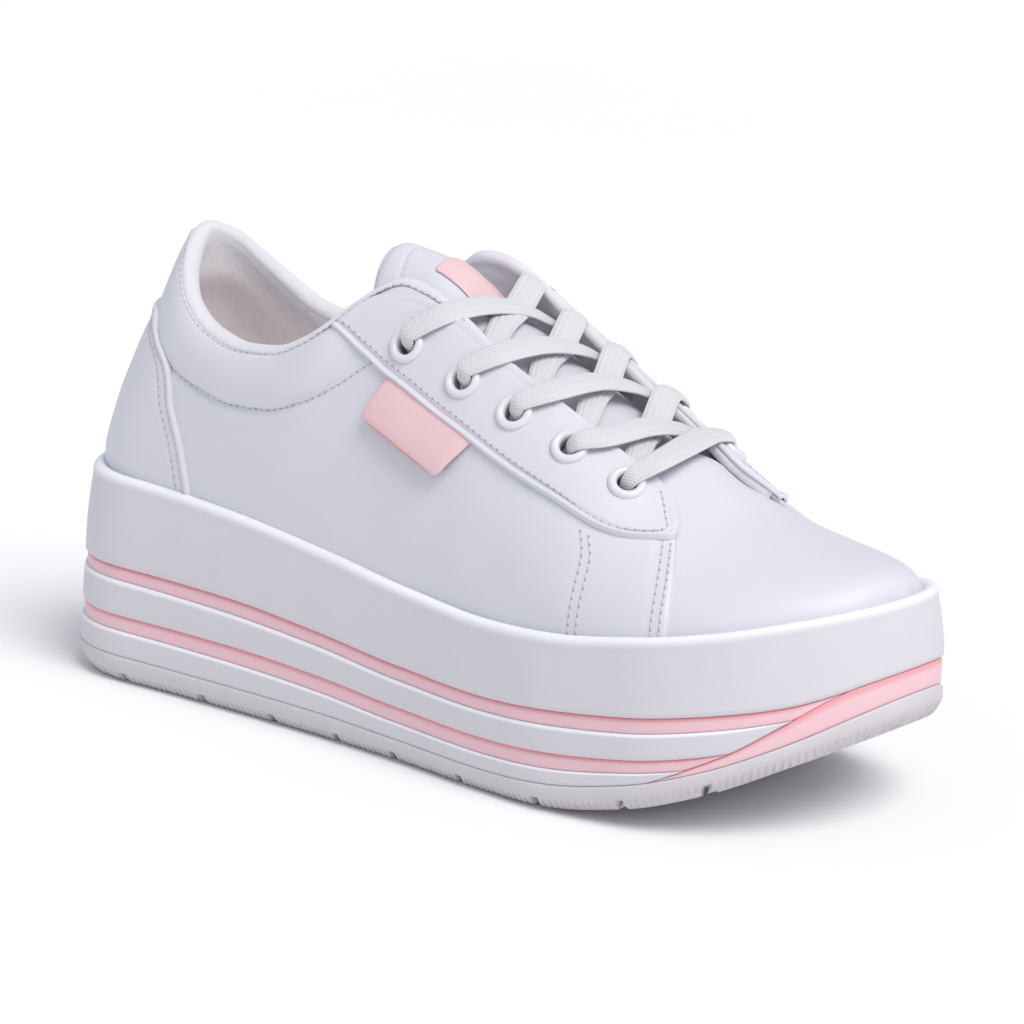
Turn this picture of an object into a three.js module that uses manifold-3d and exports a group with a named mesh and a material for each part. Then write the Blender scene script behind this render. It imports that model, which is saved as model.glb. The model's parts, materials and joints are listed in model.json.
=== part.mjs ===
// A right-foot platform sneaker, low cut, with five pairs of eyelets, in millimetres, +Z up.
//
// Built the way the shoe is made: a rubber outsole with tread grooves, foam layers in two colours, a foam cup
// whose rim takes the lasted upper, an insole, a hollow upper, a tongue, two eyestays, a heel counter, a folded
// side tag, eyelets and a flat lace. Everything is worked out from the sole's outline and from one function that
// gives the surface of the last, so the pieces nest with a small gap between them.
//
// Working frame: x runs from the back of the sole to its toe, y is negative on the outer (lateral) side, and z
// is the height above the floor. The last line of the file moves the shoe so that its box stands on the origin.

import * as THREE from "three";
import { mergeVertices } from "three/addons/utils/BufferGeometryUtils.js";
import Module from "manifold-3d";

const wasm = await Module();
wasm.setup();

// ---------------------------------------------------------------- driving dimensions

const GAP = 0.3; // between two pieces that touch
const LATERAL = -1; // side signs, also the sign of y
const MEDIAL = 1;
const SIDES = [LATERAL, MEDIAL];

const SOLE = {
  length: 270,
  heelRound: 34, // length over which the outline closes at the back
  toeRound: 62, // and at the front
  swing: 4.5, // how far the toe turns towards the inner side
  medialShare: 0.97, // the inner half breadth against the outer
  flare: 1.4, // how far the lower layers stand out at the heel
  stripeInset: 0.9, // the coloured layers sit back from the white ones
  stations: 24,
};

// Half breadth of the sole, and the height of each joint between its layers, from heel to toe.
const SOLE_SECTIONS = [
  { x: 0, half: 35.2, ground: 1.6, tread: 8.4, base: 15.2, lower: 19.6, middle: 29.8, band: 33.4, rim: 59.4 },
  { x: 35, half: 35.4, ground: 0, tread: 7.8, base: 14.8, lower: 19.3, middle: 29.1, band: 33.0, rim: 58.2 },
  { x: 70, half: 36.8, ground: 0, tread: 7.6, base: 14.3, lower: 19.0, middle: 28.0, band: 32.2, rim: 55.8 },
  { x: 105, half: 39.2, ground: 0, tread: 7.4, base: 13.0, lower: 17.6, middle: 25.7, band: 29.6, rim: 51.7 },
  { x: 135, half: 42.6, ground: 0, tread: 6.8, base: 11.2, lower: 15.7, middle: 23.0, band: 27.0, rim: 47.8 },
  { x: 165, half: 47.6, ground: 0, tread: 6.6, base: 10.7, lower: 15.1, middle: 22.2, band: 26.1, rim: 46.0 },
  { x: 190, half: 50.6, ground: 0.8, tread: 7.8, base: 11.8, lower: 16.2, middle: 23.4, band: 27.5, rim: 47.2 },
  { x: 215, half: 49.8, ground: 5.2, tread: 12.2, base: 15.2, lower: 18.8, middle: 25.8, band: 30.0, rim: 50.6 },
  { x: 235, half: 47.4, ground: 11.8, tread: 18.4, base: 19.4, lower: 22.4, middle: 29.0, band: 33.0, rim: 54.2 },
  { x: 253, half: 44.6, ground: 20.4, tread: 26.8, base: 27.0, lower: 28.0, middle: 33.0, band: 36.6, rim: 58.4 },
  { x: 270, half: 41.6, ground: 29.2, tread: 37.2, base: 38.0, lower: 38.6, middle: 40.0, band: 43.4, rim: 62.4 },
];

// Top of the coloured wedge that climbs over the layers at the toe.
const TOE_WEDGE = [
  { x: 212, top: 9.5 },
  { x: 227, top: 16.4 },
  { x: 241, top: 23.8 },
  { x: 253, top: 32.6 },
  { x: 263, top: 40.4 },
  { x: 270, top: 43.8 },
];

const CUP = {
  rimInset: 2.3, // the wall leans in towards the rim
  depth: 9, // from the rim down to the footbed
};

const TREAD = { first: 20, pitch: 23, count: 10, width: 1.8, depth: 2.2 };

const LAST = {
  toe: 264.6, // x of the upper's foremost point
  heelRound: 30,
  toeRound: 57,
  leanFades: 120, // how far forward the heel's forward lean dies out
  stations: 26,
  rowsBelow: 1, // rows of points under the widest level
  rowsAbove: 7,
};

// Sections of the last: half breadths at the widest level, the height of that level over the footbed, the crown
// of the section, and how full its shoulders are (2 is an ellipse).
const LAST_SECTIONS = [
  { x: 0, lateral: 26.6, medial: 26.0, belly: 13, crown: 134, fullness: 2.5 },
  { x: 40, lateral: 29.4, medial: 28.6, belly: 14, crown: 134, fullness: 2.5 },
  { x: 70, lateral: 31.8, medial: 30.4, belly: 15, crown: 136.5, fullness: 2.35 },
  { x: 90, lateral: 33.2, medial: 31.6, belly: 15, crown: 137.4, fullness: 2.1 },
  { x: 106, lateral: 34.2, medial: 32.6, belly: 14, crown: 134.6, fullness: 1.85 },
  { x: 122, lateral: 35.4, medial: 34.0, belly: 13, crown: 131.6, fullness: 1.7 },
  { x: 140, lateral: 37.4, medial: 36.2, belly: 12, crown: 123.8, fullness: 1.65 },
  { x: 158, lateral: 40.0, medial: 38.6, belly: 11, crown: 112.6, fullness: 1.65 },
  { x: 176, lateral: 42.6, medial: 41.2, belly: 10, crown: 100.6, fullness: 1.7 },
  { x: 192, lateral: 44.0, medial: 42.6, belly: 9, crown: 89.4, fullness: 1.75 },
  { x: 206, lateral: 44.0, medial: 42.8, belly: 8, crown: 80.0, fullness: 1.8 },
  { x: 222, lateral: 42.8, medial: 41.6, belly: 7, crown: 73.8, fullness: 1.85 },
  { x: 238, lateral: 40.4, medial: 39.4, belly: 6, crown: 70.6, fullness: 1.95 },
  { x: 250, lateral: 38.4, medial: 37.6, belly: 5, crown: 69.0, fullness: 2.05 },
  { x: 258, lateral: 37.0, medial: 36.4, belly: 4, crown: 67.6, fullness: 2.1 },
  { x: 262.6, lateral: 36.2, medial: 35.6, belly: 3, crown: 65.6, fullness: 2.1 },
  { x: 264.6, lateral: 35.8, medial: 35.2, belly: 2, crown: 61.6, fullness: 2.0 },
];

// How far the back of the heel leans forward, by height.
const HEEL_CURVE = [
  { z: 45, lean: 4.8 },
  { z: 60, lean: 4.8 },
  { z: 75, lean: 8.8 },
  { z: 90, lean: 15.0 },
  { z: 103, lean: 20.8 },
  { z: 115, lean: 25.4 },
  { z: 127, lean: 29.0 },
  { z: 155, lean: 33.8 },
];

// The top line in side view: the heel tab, the dip under the ankle, and the rise to the eyestay's top.
const TOP_LINE = [
  { x: 10, z: 128.3 },
  { x: 29, z: 128.3 },
  { x: 33, z: 125.4 },
  { x: 38, z: 118.0 },
  { x: 45, z: 110.9 },
  { x: 55, z: 104.9 },
  { x: 67, z: 102.3 },
  { x: 79, z: 103.3 },
  { x: 91, z: 108.5 },
  { x: 102, z: 115.8 },
  { x: 111, z: 121.3 },
  { x: 118, z: 125.3 },
  { x: 124, z: 127.8 },
  { x: 140, z: 130.1 },
];

const UPPER = {
  wall: 2.2,
  collarWall: 6.8, // the padded collar
  collarDepth: 19, // how far the padding reaches below the top line
  collarPuff: 1.5, // how far it bulges outwards
  puffFades: [84, 101], // the padding thins out towards the eyestay
};

const THROAT = { top: 96, bottom: 207, halfTop: 17.0, halfBottom: 13.6, floor: 66 };
const OVERLAY = { from: GAP, to: 1.6 }; // leather laid on the upper, as heights over its surface

// Side view of the eyestay, from its top corner down its lower edge and round its front end.
const EYESTAY_EDGE = [
  { x: 97.4, z: 111.3 },
  { x: 104.4, z: 108.0 },
  { x: 112.4, z: 103.9 },
  { x: 119.6, z: 100.4 },
  { x: 136.2, z: 93.7 },
  { x: 151.4, z: 87.8 },
  { x: 167.6, z: 81.8 },
  { x: 181.9, z: 77.0 },
  { x: 192.6, z: 73.8 },
  { x: 200.0, z: 72.2 },
  { x: 206.4, z: 71.7 },
  { x: 211.2, z: 71.9 },
  { x: 212.4, z: 73.0 },
  { x: 208.8, z: 76.6 },
  { x: 204.4, z: 80.0 },
  { x: 200.4, z: 82.8 },
  { x: 197.6, z: 85.4 },
];
const EYESTAY_INNER = 0.75; // the inner eyestay ends further back
// Side view of the heel counter's front edge, from the cup up to the padded collar.
const COUNTER_EDGE = [
  { x: 52.6, z: 40 },
  { x: 51.6, z: 57 },
  { x: 50.0, z: 67 },
  { x: 46.8, z: 77 },
  { x: 42.6, z: 85.4 },
  { x: 37.4, z: 93.6 },
  { x: 31.4, z: 100.2 },
  { x: 26.4, z: 103.4 },
];

const EYELET = { hole: 2.7, barrel: 3.5, flange: 5.1, rise: 1.5, grip: 3.4, segments: 10 };

// The row of eyelets in side view, from the top down.
const EYELET_ROW = [
  { x: 123.0, z: 108.9 },
  { x: 142.6, z: 102.4 },
  { x: 159.6, z: 96.3 },
  { x: 177.0, z: 89.7 },
  { x: 193.6, z: 82.2 },
];


const TONGUE = { clear: 2.4, pad: 4.6, base: 2.6, from: 102, to: 214, halfTop: 23, halfBase: 21, corner: 12 };
const INSOLE = { thick: 3.6, clear: 0.6 };
const TAG = { along: [120.2, 151.8], drop: 11.4, thick: 1.8, lift: [0.5, 3.4], corner: 2.4, slant: -0.58 };
const LACE = { width: 6.4, thick: 1.5, overEyelet: 5.2, overEdge: 4.4 };

// The tongue sags between the eyestays: how deep it lies below the crown's arc, along the shoe.
const TONGUE_SAG = [
  { x: 100, drop: 0 },
  { x: 117, drop: 0.4 },
  { x: 126, drop: 2.4 },
  { x: 136, drop: 5.4 },
  { x: 152, drop: 4.8 },
  { x: 166, drop: 2.6 },
  { x: 182, drop: 1.2 },
  { x: 214, drop: 0.8 },
];
const SAG_HALF = 19; // the sag fades out at this distance from the middle

// Each crossing strand's places over the last: station s, distance y from the middle, and height over the surface.
const STRANDS = [
  [
    { s: 125.2, y: 23.2, over: 5.2 },
    { s: 131.2, y: 15.4, over: 3.9 },
    { s: 136.8, y: 5.0, over: -2.6 },
    { s: 140.4, y: -5.6, over: -3.6 },
    { s: 142.6, y: -11.6, over: -3.8 },
  ],
  [
    { s: 144.5, y: 23.0, over: 5.2 },
    { s: 149.8, y: 15.4, over: 4.0 },
    { s: 154.4, y: 5.4, over: -0.8 },
    { s: 156.8, y: -4.9, over: -2.2 },
    { s: 158.6, y: -11.4, over: -2.6 },
  ],
  [
    { s: 161.9, y: 22.4, over: 5.2 },
    { s: 166.4, y: 15.2, over: 4.3 },
    { s: 170.4, y: 4.9, over: 1.2 },
    { s: 172.3, y: -5.6, over: 0 },
    { s: 174.2, y: -11.4, over: -0.8 },
  ],
  [
    { s: 179.3, y: 21.8, over: 5.2 },
    { s: 183.4, y: 15.2, over: 4.4 },
    { s: 186.3, y: 4.4, over: 2.4 },
    { s: 187.6, y: -5.6, over: 1.4 },
    { s: 189.4, y: -11.0, over: 0.4 },
  ],
];

const COLOURS = {
  leather: { color: 0xe6e7ee, roughness: 0.42, metalness: 0 },
  foam: { color: 0xdcdbe2, roughness: 0.55, metalness: 0 },
  pink: { color: 0xe7a9b7, roughness: 0.55, metalness: 0 },
  rubber: { color: 0xdad8df, roughness: 0.6, metalness: 0 },
  lining: { color: 0xe2dfe4, roughness: 0.85, metalness: 0 },
  lace: { color: 0xf0f0f4, roughness: 0.8, metalness: 0 },
  eyelet: { color: 0xf2f2f7, roughness: 0.3, metalness: 0 },
  tag: { color: 0xf3aeb2, roughness: 0.5, metalness: 0 },
};

// ---------------------------------------------------------------- small mathematics

const clamp01 = (t) => Math.min(1, Math.max(0, t));
const lerp = (a, b, t) => a + (b - a) * t;
const smooth = (t) => clamp01(t) ** 2 * (3 - 2 * clamp01(t));

/** A smooth function through a table's rows that never overshoots them (monotone cubic). */
function through(rows, at, value) {
  const xs = rows.map((row) => row[at]);
  const ys = rows.map((row) => row[value]);
  const slope = xs.slice(1).map((x, i) => (ys[i + 1] - ys[i]) / (x - xs[i]));
  const tangent = xs.map((_, i) => {
    if (i === 0) return slope[0];
    if (i === xs.length - 1) return slope[i - 1];
    const [before, after] = [slope[i - 1], slope[i]];
    return before * after <= 0 ? 0 : (2 * before * after) / (before + after);
  });
  return (x) => {
    if (x <= xs[0]) return ys[0];
    if (x >= xs[xs.length - 1]) return ys[ys.length - 1];
    const i = xs.findIndex((known) => known > x) - 1;
    const h = xs[i + 1] - xs[i];
    const t = (x - xs[i]) / h;
    return (
      ys[i] * (1 + 2 * t) * (1 - t) ** 2 +
      tangent[i] * h * t * (1 - t) ** 2 +
      ys[i + 1] * t * t * (3 - 2 * t) +
      tangent[i + 1] * h * t * t * (t - 1)
    );
  };
}

/** Every column of a table as such a function. */
function columns(rows, at) {
  const names = Object.keys(rows[0]).filter((name) => name !== at);
  return Object.fromEntries(names.map((name) => [name, through(rows, at, name)]));
}

const sole = columns(SOLE_SECTIONS, "x");
const last = columns(LAST_SECTIONS, "x");
const wedgeTop = through(TOE_WEDGE, "x", "top");
const heelLean = through(HEEL_CURVE, "z", "lean");
const topLine = through(TOP_LINE, "x", "z");
const footbed = (x) => sole.rim(x) - CUP.depth;
const swing = (x) => SOLE.swing * clamp01((x - 120) / 150) ** 2;

/** Share of the full breadth where an outline closes at its heel and toe. */
function endRounding(x, length, heelRound, toeRound) {
  const back = x < heelRound ? (1 - (1 - x / heelRound) ** 2.6) ** (1 / 2.3) : 1;
  const front = x > length - toeRound ? (1 - (1 - (length - x) / toeRound) ** 2.5) ** (1 / 2.2) : 1;
  return back * front;
}

/** Stations from 0 to length, closer together at both ends. */
const stations = (count, length) =>
  Array.from({ length: count + 1 }, (_, i) => (length * (1 - Math.cos((Math.PI * i) / count))) / 2);

// ---------------------------------------------------------------- solids

/** Joins a row of closed sections into one closed surface. Open ends are closed by a fan. */
function skin(sections, closeEnds = false) {
  const size = sections[0].length;
  const position = sections.flat().flatMap((p) => [p.x, p.y, p.z]);
  const index = [];
  for (let i = 0; i + 1 < sections.length; i++) {
    for (let j = 0; j < size; j++) {
      const [a, b] = [i * size + j, i * size + ((j + 1) % size)];
      index.push(a, b, a + size, b, b + size, a + size);
    }
  }
  if (closeEnds) {
    const end = (sections.length - 1) * size;
    for (let j = 1; j + 1 < size; j++) {
      index.push(0, j + 1, j);
      index.push(end, end + j, end + j + 1);
    }
  }
  const geometry = new THREE.BufferGeometry();
  geometry.setAttribute("position", new THREE.Float32BufferAttribute(position, 3));
  geometry.setIndex(index);
  return solid(geometry);
}

/** A closed geometry as a solid with its faces pointing out. */
function solid(geometry) {
  const bare = geometry.clone();
  bare.deleteAttribute("normal");
  bare.deleteAttribute("uv");
  const merged = mergeVertices(bare, 1e-3);
  const triangles = [];
  for (let i = 0; i < merged.index.count; i += 3) {
    const [a, b, c] = [0, 1, 2].map((k) => merged.index.getX(i + k));
    if (a !== b && b !== c && a !== c) triangles.push(a, b, c);
  }
  const build = (triVerts) =>
    new wasm.Manifold(
      new wasm.Mesh({
        numProp: 3,
        vertProperties: merged.attributes.position.array,
        triVerts: new Uint32Array(triVerts),
      }),
    );
  const made = build(triangles);
  return made.volume() > 0 ? made : build(triangles.reverse());
}

/** The largest body of a solid, without the crumbs that a cut can leave. */
function mainBody(made) {
  return made.decompose().reduce((a, b) => (a.volume() > b.volume() ? a : b));
}

/** A named mesh from a solid. */
function piece(name, made, look) {
  const mesh = mainBody(made).getMesh();
  const geometry = new THREE.BufferGeometry();
  const position = new Float32Array(mesh.numVert * 3);
  for (let i = 0; i < mesh.numVert; i++) {
    position.set(mesh.vertProperties.subarray(i * mesh.numProp, i * mesh.numProp + 3), i * 3);
  }
  geometry.setAttribute("position", new THREE.BufferAttribute(position, 3));
  geometry.setIndex(new THREE.BufferAttribute(mesh.triVerts, 1));
  geometry.computeVertexNormals();
  const made3d = new THREE.Mesh(geometry, new THREE.MeshStandardMaterial(COLOURS[look]));
  made3d.name = name;
  return made3d;
}

/** A side-view outline of { x, z } points, run through the whole shoe or one side of it. */
function sideCutter(outline, side = 0) {
  const shape = new THREE.Shape(outline.map((p) => new THREE.Vector2(p.x, p.z)));
  const depth = side === 0 ? 240 : 120;
  const geometry = new THREE.ExtrudeGeometry(shape, { depth, bevelEnabled: false });
  geometry.rotateX(Math.PI / 2); // the outline's height becomes z, and the depth runs to negative y
  geometry.translate(0, side === LATERAL ? 0 : 120, 0);
  return solid(geometry);
}

/** A plan-view outline of { x, y } points, from one height to another. */
function planCutter(outline, low, high) {
  const shape = new THREE.Shape(outline.map((p) => new THREE.Vector2(p.x, p.y)));
  const geometry = new THREE.ExtrudeGeometry(shape, { depth: high - low, bevelEnabled: false });
  geometry.translate(0, 0, low);
  return solid(geometry);
}

// ---------------------------------------------------------------- the sole's outline and layers

/** A point of the sole's outline at x on one side. */
function soleEdge(side, x) {
  const centre = swing(x);
  const share = side === LATERAL ? 1 : SOLE.medialShare;
  const rounding = endRounding(x, SOLE.length, SOLE.heelRound, SOLE.toeRound);
  return new THREE.Vector2(x, centre + side * sole.half(x) * share * rounding);
}

/** The outline moved inwards, at a station. */
function insetEdge(side, x, inset) {
  const here = soleEdge(side, x);
  if (x <= 0) return new THREE.Vector2(here.x + inset, here.y);
  if (x >= SOLE.length) return new THREE.Vector2(here.x - inset, here.y);
  const step = Math.min(0.2, x / 2, (SOLE.length - x) / 2);
  const along = soleEdge(side, x + step).sub(soleEdge(side, x - step)).normalize();
  return new THREE.Vector2(here.x + side * along.y * inset, here.y - side * along.x * inset);
}

/** A layer of the sole, from rows of { inset, height(x) } that go up its side wall. */
function soleLayer(wall) {
  const sections = stations(SOLE.stations, SOLE.length).map((x) => {
    const side = (sign) =>
      wall.map(({ inset, height }) => {
        const spread = SOLE.flare * smooth((150 - x) / 150) * clamp01(1.4 - height(x) / 24);
        const edge = insetEdge(sign, x, inset - spread);
        return new THREE.Vector3(edge.x, edge.y, height(edge.x));
      });
    return [...side(LATERAL), ...side(MEDIAL).reverse()];
  });
  return skin(sections);
}

/** A plain layer between two joints, with eased edges. */
function foamLayer(lower, upper, inset) {
  const ease = 0.6;
  return soleLayer([
    { inset: inset + ease, height: (x) => lower(x) + GAP / 2 },
    { inset, height: (x) => Math.min(lower(x) + ease, lerp(lower(x), upper(x), 0.4)) + GAP / 2 },
    { inset, height: (x) => Math.max(upper(x) - ease, lerp(lower(x), upper(x), 0.6)) - GAP / 2 },
    { inset: inset + ease, height: (x) => upper(x) - GAP / 2 },
  ]);
}

/** Everything in front of and under the toe wedge, to trim a layer that it covers. */
function underWedge(endsAt) {
  const between = stations(SOLE.stations, SOLE.length).filter((x) => x > 204 && x < endsAt);
  const rising = [204, ...between, endsAt].map((x) => ({ x, z: wedgeTop(x) + GAP / 2 }));
  return sideCutter([{ x: 204, z: -20 }, ...rising, { x: endsAt, z: 90 }, { x: 300, z: 90 }, { x: 300, z: -20 }]);
}

function makeOutsole() {
  const body = soleLayer([
    { inset: 6.5, height: (x) => sole.ground(x) },
    { inset: 2.6, height: (x) => sole.ground(x) + 0.25 * smooth((30 - x) / 30) },
    { inset: 0.9, height: (x) => sole.ground(x) + 1.4 + smooth((30 - x) / 30) },
    { inset: 0, height: (x) => sole.ground(x) + 3.6 + smooth((30 - x) / 30) },
    { inset: 0, height: (x) => sole.tread(x) - 1 },
    { inset: 0.7, height: (x) => sole.tread(x) - GAP / 2 },
  ]);
  const grooves = Array.from({ length: TREAD.count }, (_, i) => {
    const x = TREAD.first + TREAD.pitch * i;
    const groove = new THREE.BoxGeometry(TREAD.width, 140, 2 * TREAD.depth);
    const slope = (sole.ground(x + 2) - sole.ground(x - 2)) / 4;
    groove.rotateY(-Math.atan(slope));
    groove.translate(x, 0, sole.ground(x));
    return solid(groove);
  });
  return body.subtract(wasm.Manifold.union(grooves));
}

function makeToeWedge() {
  const behind = sideCutter([
    { x: -20, z: -20 },
    { x: 226, z: -20 },
    { x: 226, z: 90 },
    { x: -20, z: 90 },
  ]);
  const top = (x) => Math.max(wedgeTop(x), sole.tread(x) + 1.2);
  return foamLayer(sole.tread, top, SOLE.stripeInset).subtract(behind);
}

/** A foam layer between two joints, trimmed where the toe wedge climbs over it. */
function makeFoamLayer(lower, upper, inset, endsAt) {
  return foamLayer(lower, upper, inset).subtract(underWedge(endsAt));
}

function makeCup(pocket) {
  const under = (x) => Math.max(sole.band(x), x > 204 ? wedgeTop(x) : 0) + GAP / 2;
  const lean = CUP.rimInset;
  const body = soleLayer([
    { inset: 0.7, height: under },
    { inset: 0.1, height: (x) => under(x) + 0.8 },
    { inset: lean * 0.45, height: (x) => lerp(under(x), sole.rim(x), 0.5) },
    { inset: lean - 0.4, height: (x) => sole.rim(x) - 3.4 },
    { inset: lean, height: (x) => sole.rim(x) - 1.6 },
    { inset: lean + 0.7, height: (x) => sole.rim(x) - 0.4 },
    { inset: lean + 1.9, height: (x) => sole.rim(x) },
  ]);
  return body.subtract(pocket);
}

// ---------------------------------------------------------------- the last

/** The level at which the last is widest. */
const bellyLevel = 0.2;

/**
 * A point on the last. Station s counts from the heel's back, and level runs from 0 at the footbed over the widest
 * level (at bellyLevel) to 1 on the crown.
 */
function lastPoint(side, s, level, bottom = footbed) {
  const breadth = side === LATERAL ? last.lateral(s) : last.medial(s);
  const rounded = breadth * endRounding(s, LAST.toe, LAST.heelRound, LAST.toeRound);
  const centre = swing(s);
  const belly = footbed(s) + last.belly(s);
  let y = rounded;
  let z;
  if (level < bellyLevel) {
    const below = 1 - level / bellyLevel;
    z = lerp(belly, bottom(s), below);
    y = rounded * (1 - 0.035 * below * below);
  } else {
    const angle = ((level - bellyLevel) / (1 - bellyLevel)) * (Math.PI / 2);
    z = belly + (last.crown(s) - belly) * Math.sin(angle) ** (2 / last.fullness(s));
    y = rounded * Math.cos(angle);
  }
  const x = s + heelLean(z) * (1 - smooth(s / LAST.leanFades));
  return new THREE.Vector3(x, centre + side * y, z);
}

/** The last's outward direction at the same place. */
function lastNormal(side, s, level) {
  const ds = 0.25;
  const dl = 0.004;
  const up = lastPoint(side, s, Math.min(1, level + dl)).sub(lastPoint(side, s, Math.max(0, level - dl)));
  const atEnd = s < ds || s > LAST.toe - ds;
  const along = atEnd
    ? new THREE.Vector3(0, s < ds ? side : -side, 0)
    : lastPoint(side, s + ds, level).sub(lastPoint(side, s - ds, level));
  if (level >= 1) return new THREE.Vector3(-along.z, 0, along.x).normalize();
  return side === LATERAL ? along.cross(up).normalize() : up.cross(along).normalize();
}

/** The station whose surface passes through a side-view place, and the level there. */
function stationOf(side, x, z) {
  let s = x;
  for (let i = 0; i < 30; i++) {
    s = Math.max(0, x - heelLean(z) * (1 - smooth(s / LAST.leanFades)));
  }
  const belly = footbed(s) + last.belly(s);
  if (z < belly) return [s, bellyLevel * clamp01((z - footbed(s)) / (belly - footbed(s)))];
  const share = clamp01((z - belly) / (last.crown(s) - belly)) ** (last.fullness(s) / 2);
  return [s, bellyLevel + ((1 - bellyLevel) * Math.asin(share)) / (Math.PI / 2)];
}

/** The level at a distance y from the crown line. */
function levelAcross(side, s, y) {
  const breadth = side === LATERAL ? last.lateral(s) : last.medial(s);
  const rounded = breadth * endRounding(s, LAST.toe, LAST.heelRound, LAST.toeRound);
  return bellyLevel + ((1 - bellyLevel) * Math.acos(clamp01(y / rounded))) / (Math.PI / 2);
}

/** A place over the last's surface. */
function over(side, s, level, height) {
  return lastPoint(side, s, level).addScaledVector(lastNormal(side, s, level), height);
}

/** How much the collar's padding counts at a place, from 0 to 1. */
function padding(point) {
  const [fadesFrom, fadesTo] = UPPER.puffFades;
  const depth = (topLine(point.x) - point.z) / UPPER.collarDepth;
  return (1 - smooth((point.x - fadesFrom) / (fadesTo - fadesFrom))) * smooth((1 - depth) * 2.2);
}

/** How far the padded collar bulges outwards: fullest halfway down its depth. */
function puff(point) {
  const [fadesFrom, fadesTo] = UPPER.puffFades;
  const depth = (topLine(point.x) - point.z) / (UPPER.collarDepth - 5);
  const fade = 1 - smooth((point.x - fadesFrom) / (fadesTo - fadesFrom));
  return UPPER.collarPuff * fade * Math.sin(Math.PI * clamp01(depth));
}

const lastLevels = [
  ...Array.from({ length: LAST.rowsBelow }, (_, i) => (bellyLevel * i) / LAST.rowsBelow),
  ...Array.from({ length: LAST.rowsAbove + 1 }, (_, i) => lerp(bellyLevel, 1, i / LAST.rowsAbove)),
];

/** The last as a solid, moved outwards by height(point), with its foot at bottom(s). */
function lastSolid(height, bottom) {
  const place = (side, s, level) => {
    const at = lastPoint(side, s, level, bottom);
    const normal = lastNormal(side, s, level);
    const lifted = at.clone().addScaledVector(normal, height(at));
    if (level === 0) lifted.z = at.z;
    return lifted;
  };
  const sections = stations(LAST.stations, LAST.toe).map((s) => [
    ...lastLevels.map((level) => place(LATERAL, s, level)),
    ...lastLevels.slice(0, -1).reverse().map((level) => place(MEDIAL, s, level)),
  ]);
  return skin(sections);
}

// ---------------------------------------------------------------- the upper and what is laid on it

/** Everything over the top line, from the heel to the eyestays' tops. */
function overTopLine() {
  const line = stations(18, 1).map((t) => {
    const x = lerp(-10, 132, t);
    return { x, z: topLine(x) };
  });
  return sideCutter([...line, { x: 132, z: 190 }, { x: -10, z: 190 }]);
}

/** Half the throat's opening at x. */
const throatHalf = (x) =>
  lerp(THROAT.halfTop, THROAT.halfBottom, clamp01((x - 125) / (THROAT.bottom - 125)));

/** The throat, in plan: open at the top line, round at the vamp. */
function throatCutter() {
  const round = THROAT.halfBottom;
  const bend = Array.from({ length: 9 }, (_, i) => {
    const angle = lerp(-Math.PI / 2, Math.PI / 2, i / 8);
    return { x: THROAT.bottom - round + Math.cos(angle) * round, y: Math.sin(angle) * round };
  });
  const start = throatHalf(THROAT.top);
  const outline = [{ x: THROAT.top, y: -start }, ...bend, { x: THROAT.top, y: start }];
  return planCutter(outline, THROAT.floor, 190);
}

/** Places of the eyelets on one side, each with the last's direction there. */
function eyeletPlaces(side) {
  return EYELET_ROW.map(({ x, z }) => {
    const [s, level] = stationOf(side, x, z);
    const at = lastPoint(side, s, level);
    return { at, normal: lastNormal(side, s, level), s, y: Math.abs(at.y - swing(s)) };
  });
}

const upZ = new THREE.Vector3(0, 0, 1);

/** Moves a geometry whose axis is +Z so that it stands on a place of the last. */
function standOn(geometry, { at, normal }) {
  const turn = new THREE.Quaternion().setFromUnitVectors(upZ, normal);
  geometry.applyQuaternion(turn);
  geometry.translate(at.x, at.y, at.z);
  return solid(geometry);
}

function eyeletHoles() {
  const holes = SIDES.flatMap((side) =>
    eyeletPlaces(side).map((place) => {
      const bore = new THREE.CylinderGeometry(EYELET.barrel + GAP, EYELET.barrel + GAP, 14, EYELET.segments);
      bore.rotateX(Math.PI / 2);
      return standOn(bore, place);
    }),
  );
  return wasm.Manifold.union(holes);
}

/** The outside of the upper, with the padded collar's bulge. */
const outside = (height) => lastSolid((point) => puff(point) + height, (s) => footbed(s) + GAP);

function makeUpper(holes, collarCut, throatCut) {
  const inner = lastSolid(
    (point) => -lerp(UPPER.wall, UPPER.collarWall, padding(point)),
    (s) => footbed(s) - 6,
  );
  return outside(0).subtract(inner).subtract(collarCut).subtract(throatCut).subtract(holes);
}

/** The layer of leather over the upper's surface. */
function overlayLayer() {
  return outside(OVERLAY.to).subtract(lastSolid((point) => puff(point) + OVERLAY.from, (s) => footbed(s) - 6));
}

function makeEyestay(side, layer, holes, collarCut, throatCut) {
  const share = side === LATERAL ? 1 : EYESTAY_INNER;
  const edge = EYESTAY_EDGE.map(({ x, z }) => ({ x: x > 190 ? lerp(190, x, share) : x, z }));
  const outline = [...edge, { x: 195, z: 150 }, { x: 97.4, z: 150 }];
  return layer.intersect(sideCutter(outline, side)).subtract(collarCut).subtract(throatCut).subtract(holes);
}

function makeHeelCounter(layer) {
  const outline = [...COUNTER_EDGE, { x: 18, z: 105.2 }, { x: -10, z: 105.8 }, { x: -10, z: 40 }];
  const body = layer.intersect(sideCutter(outline));
  const inCup = sideCutter([
    { x: -20, z: 20 },
    ...stations(6, 1).map((t) => ({ x: lerp(-20, 80, t), z: sole.rim(Math.max(0, lerp(-20, 80, t))) + GAP })),
    { x: 80, z: 20 },
  ]);
  return body.subtract(inCup);
}

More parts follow.
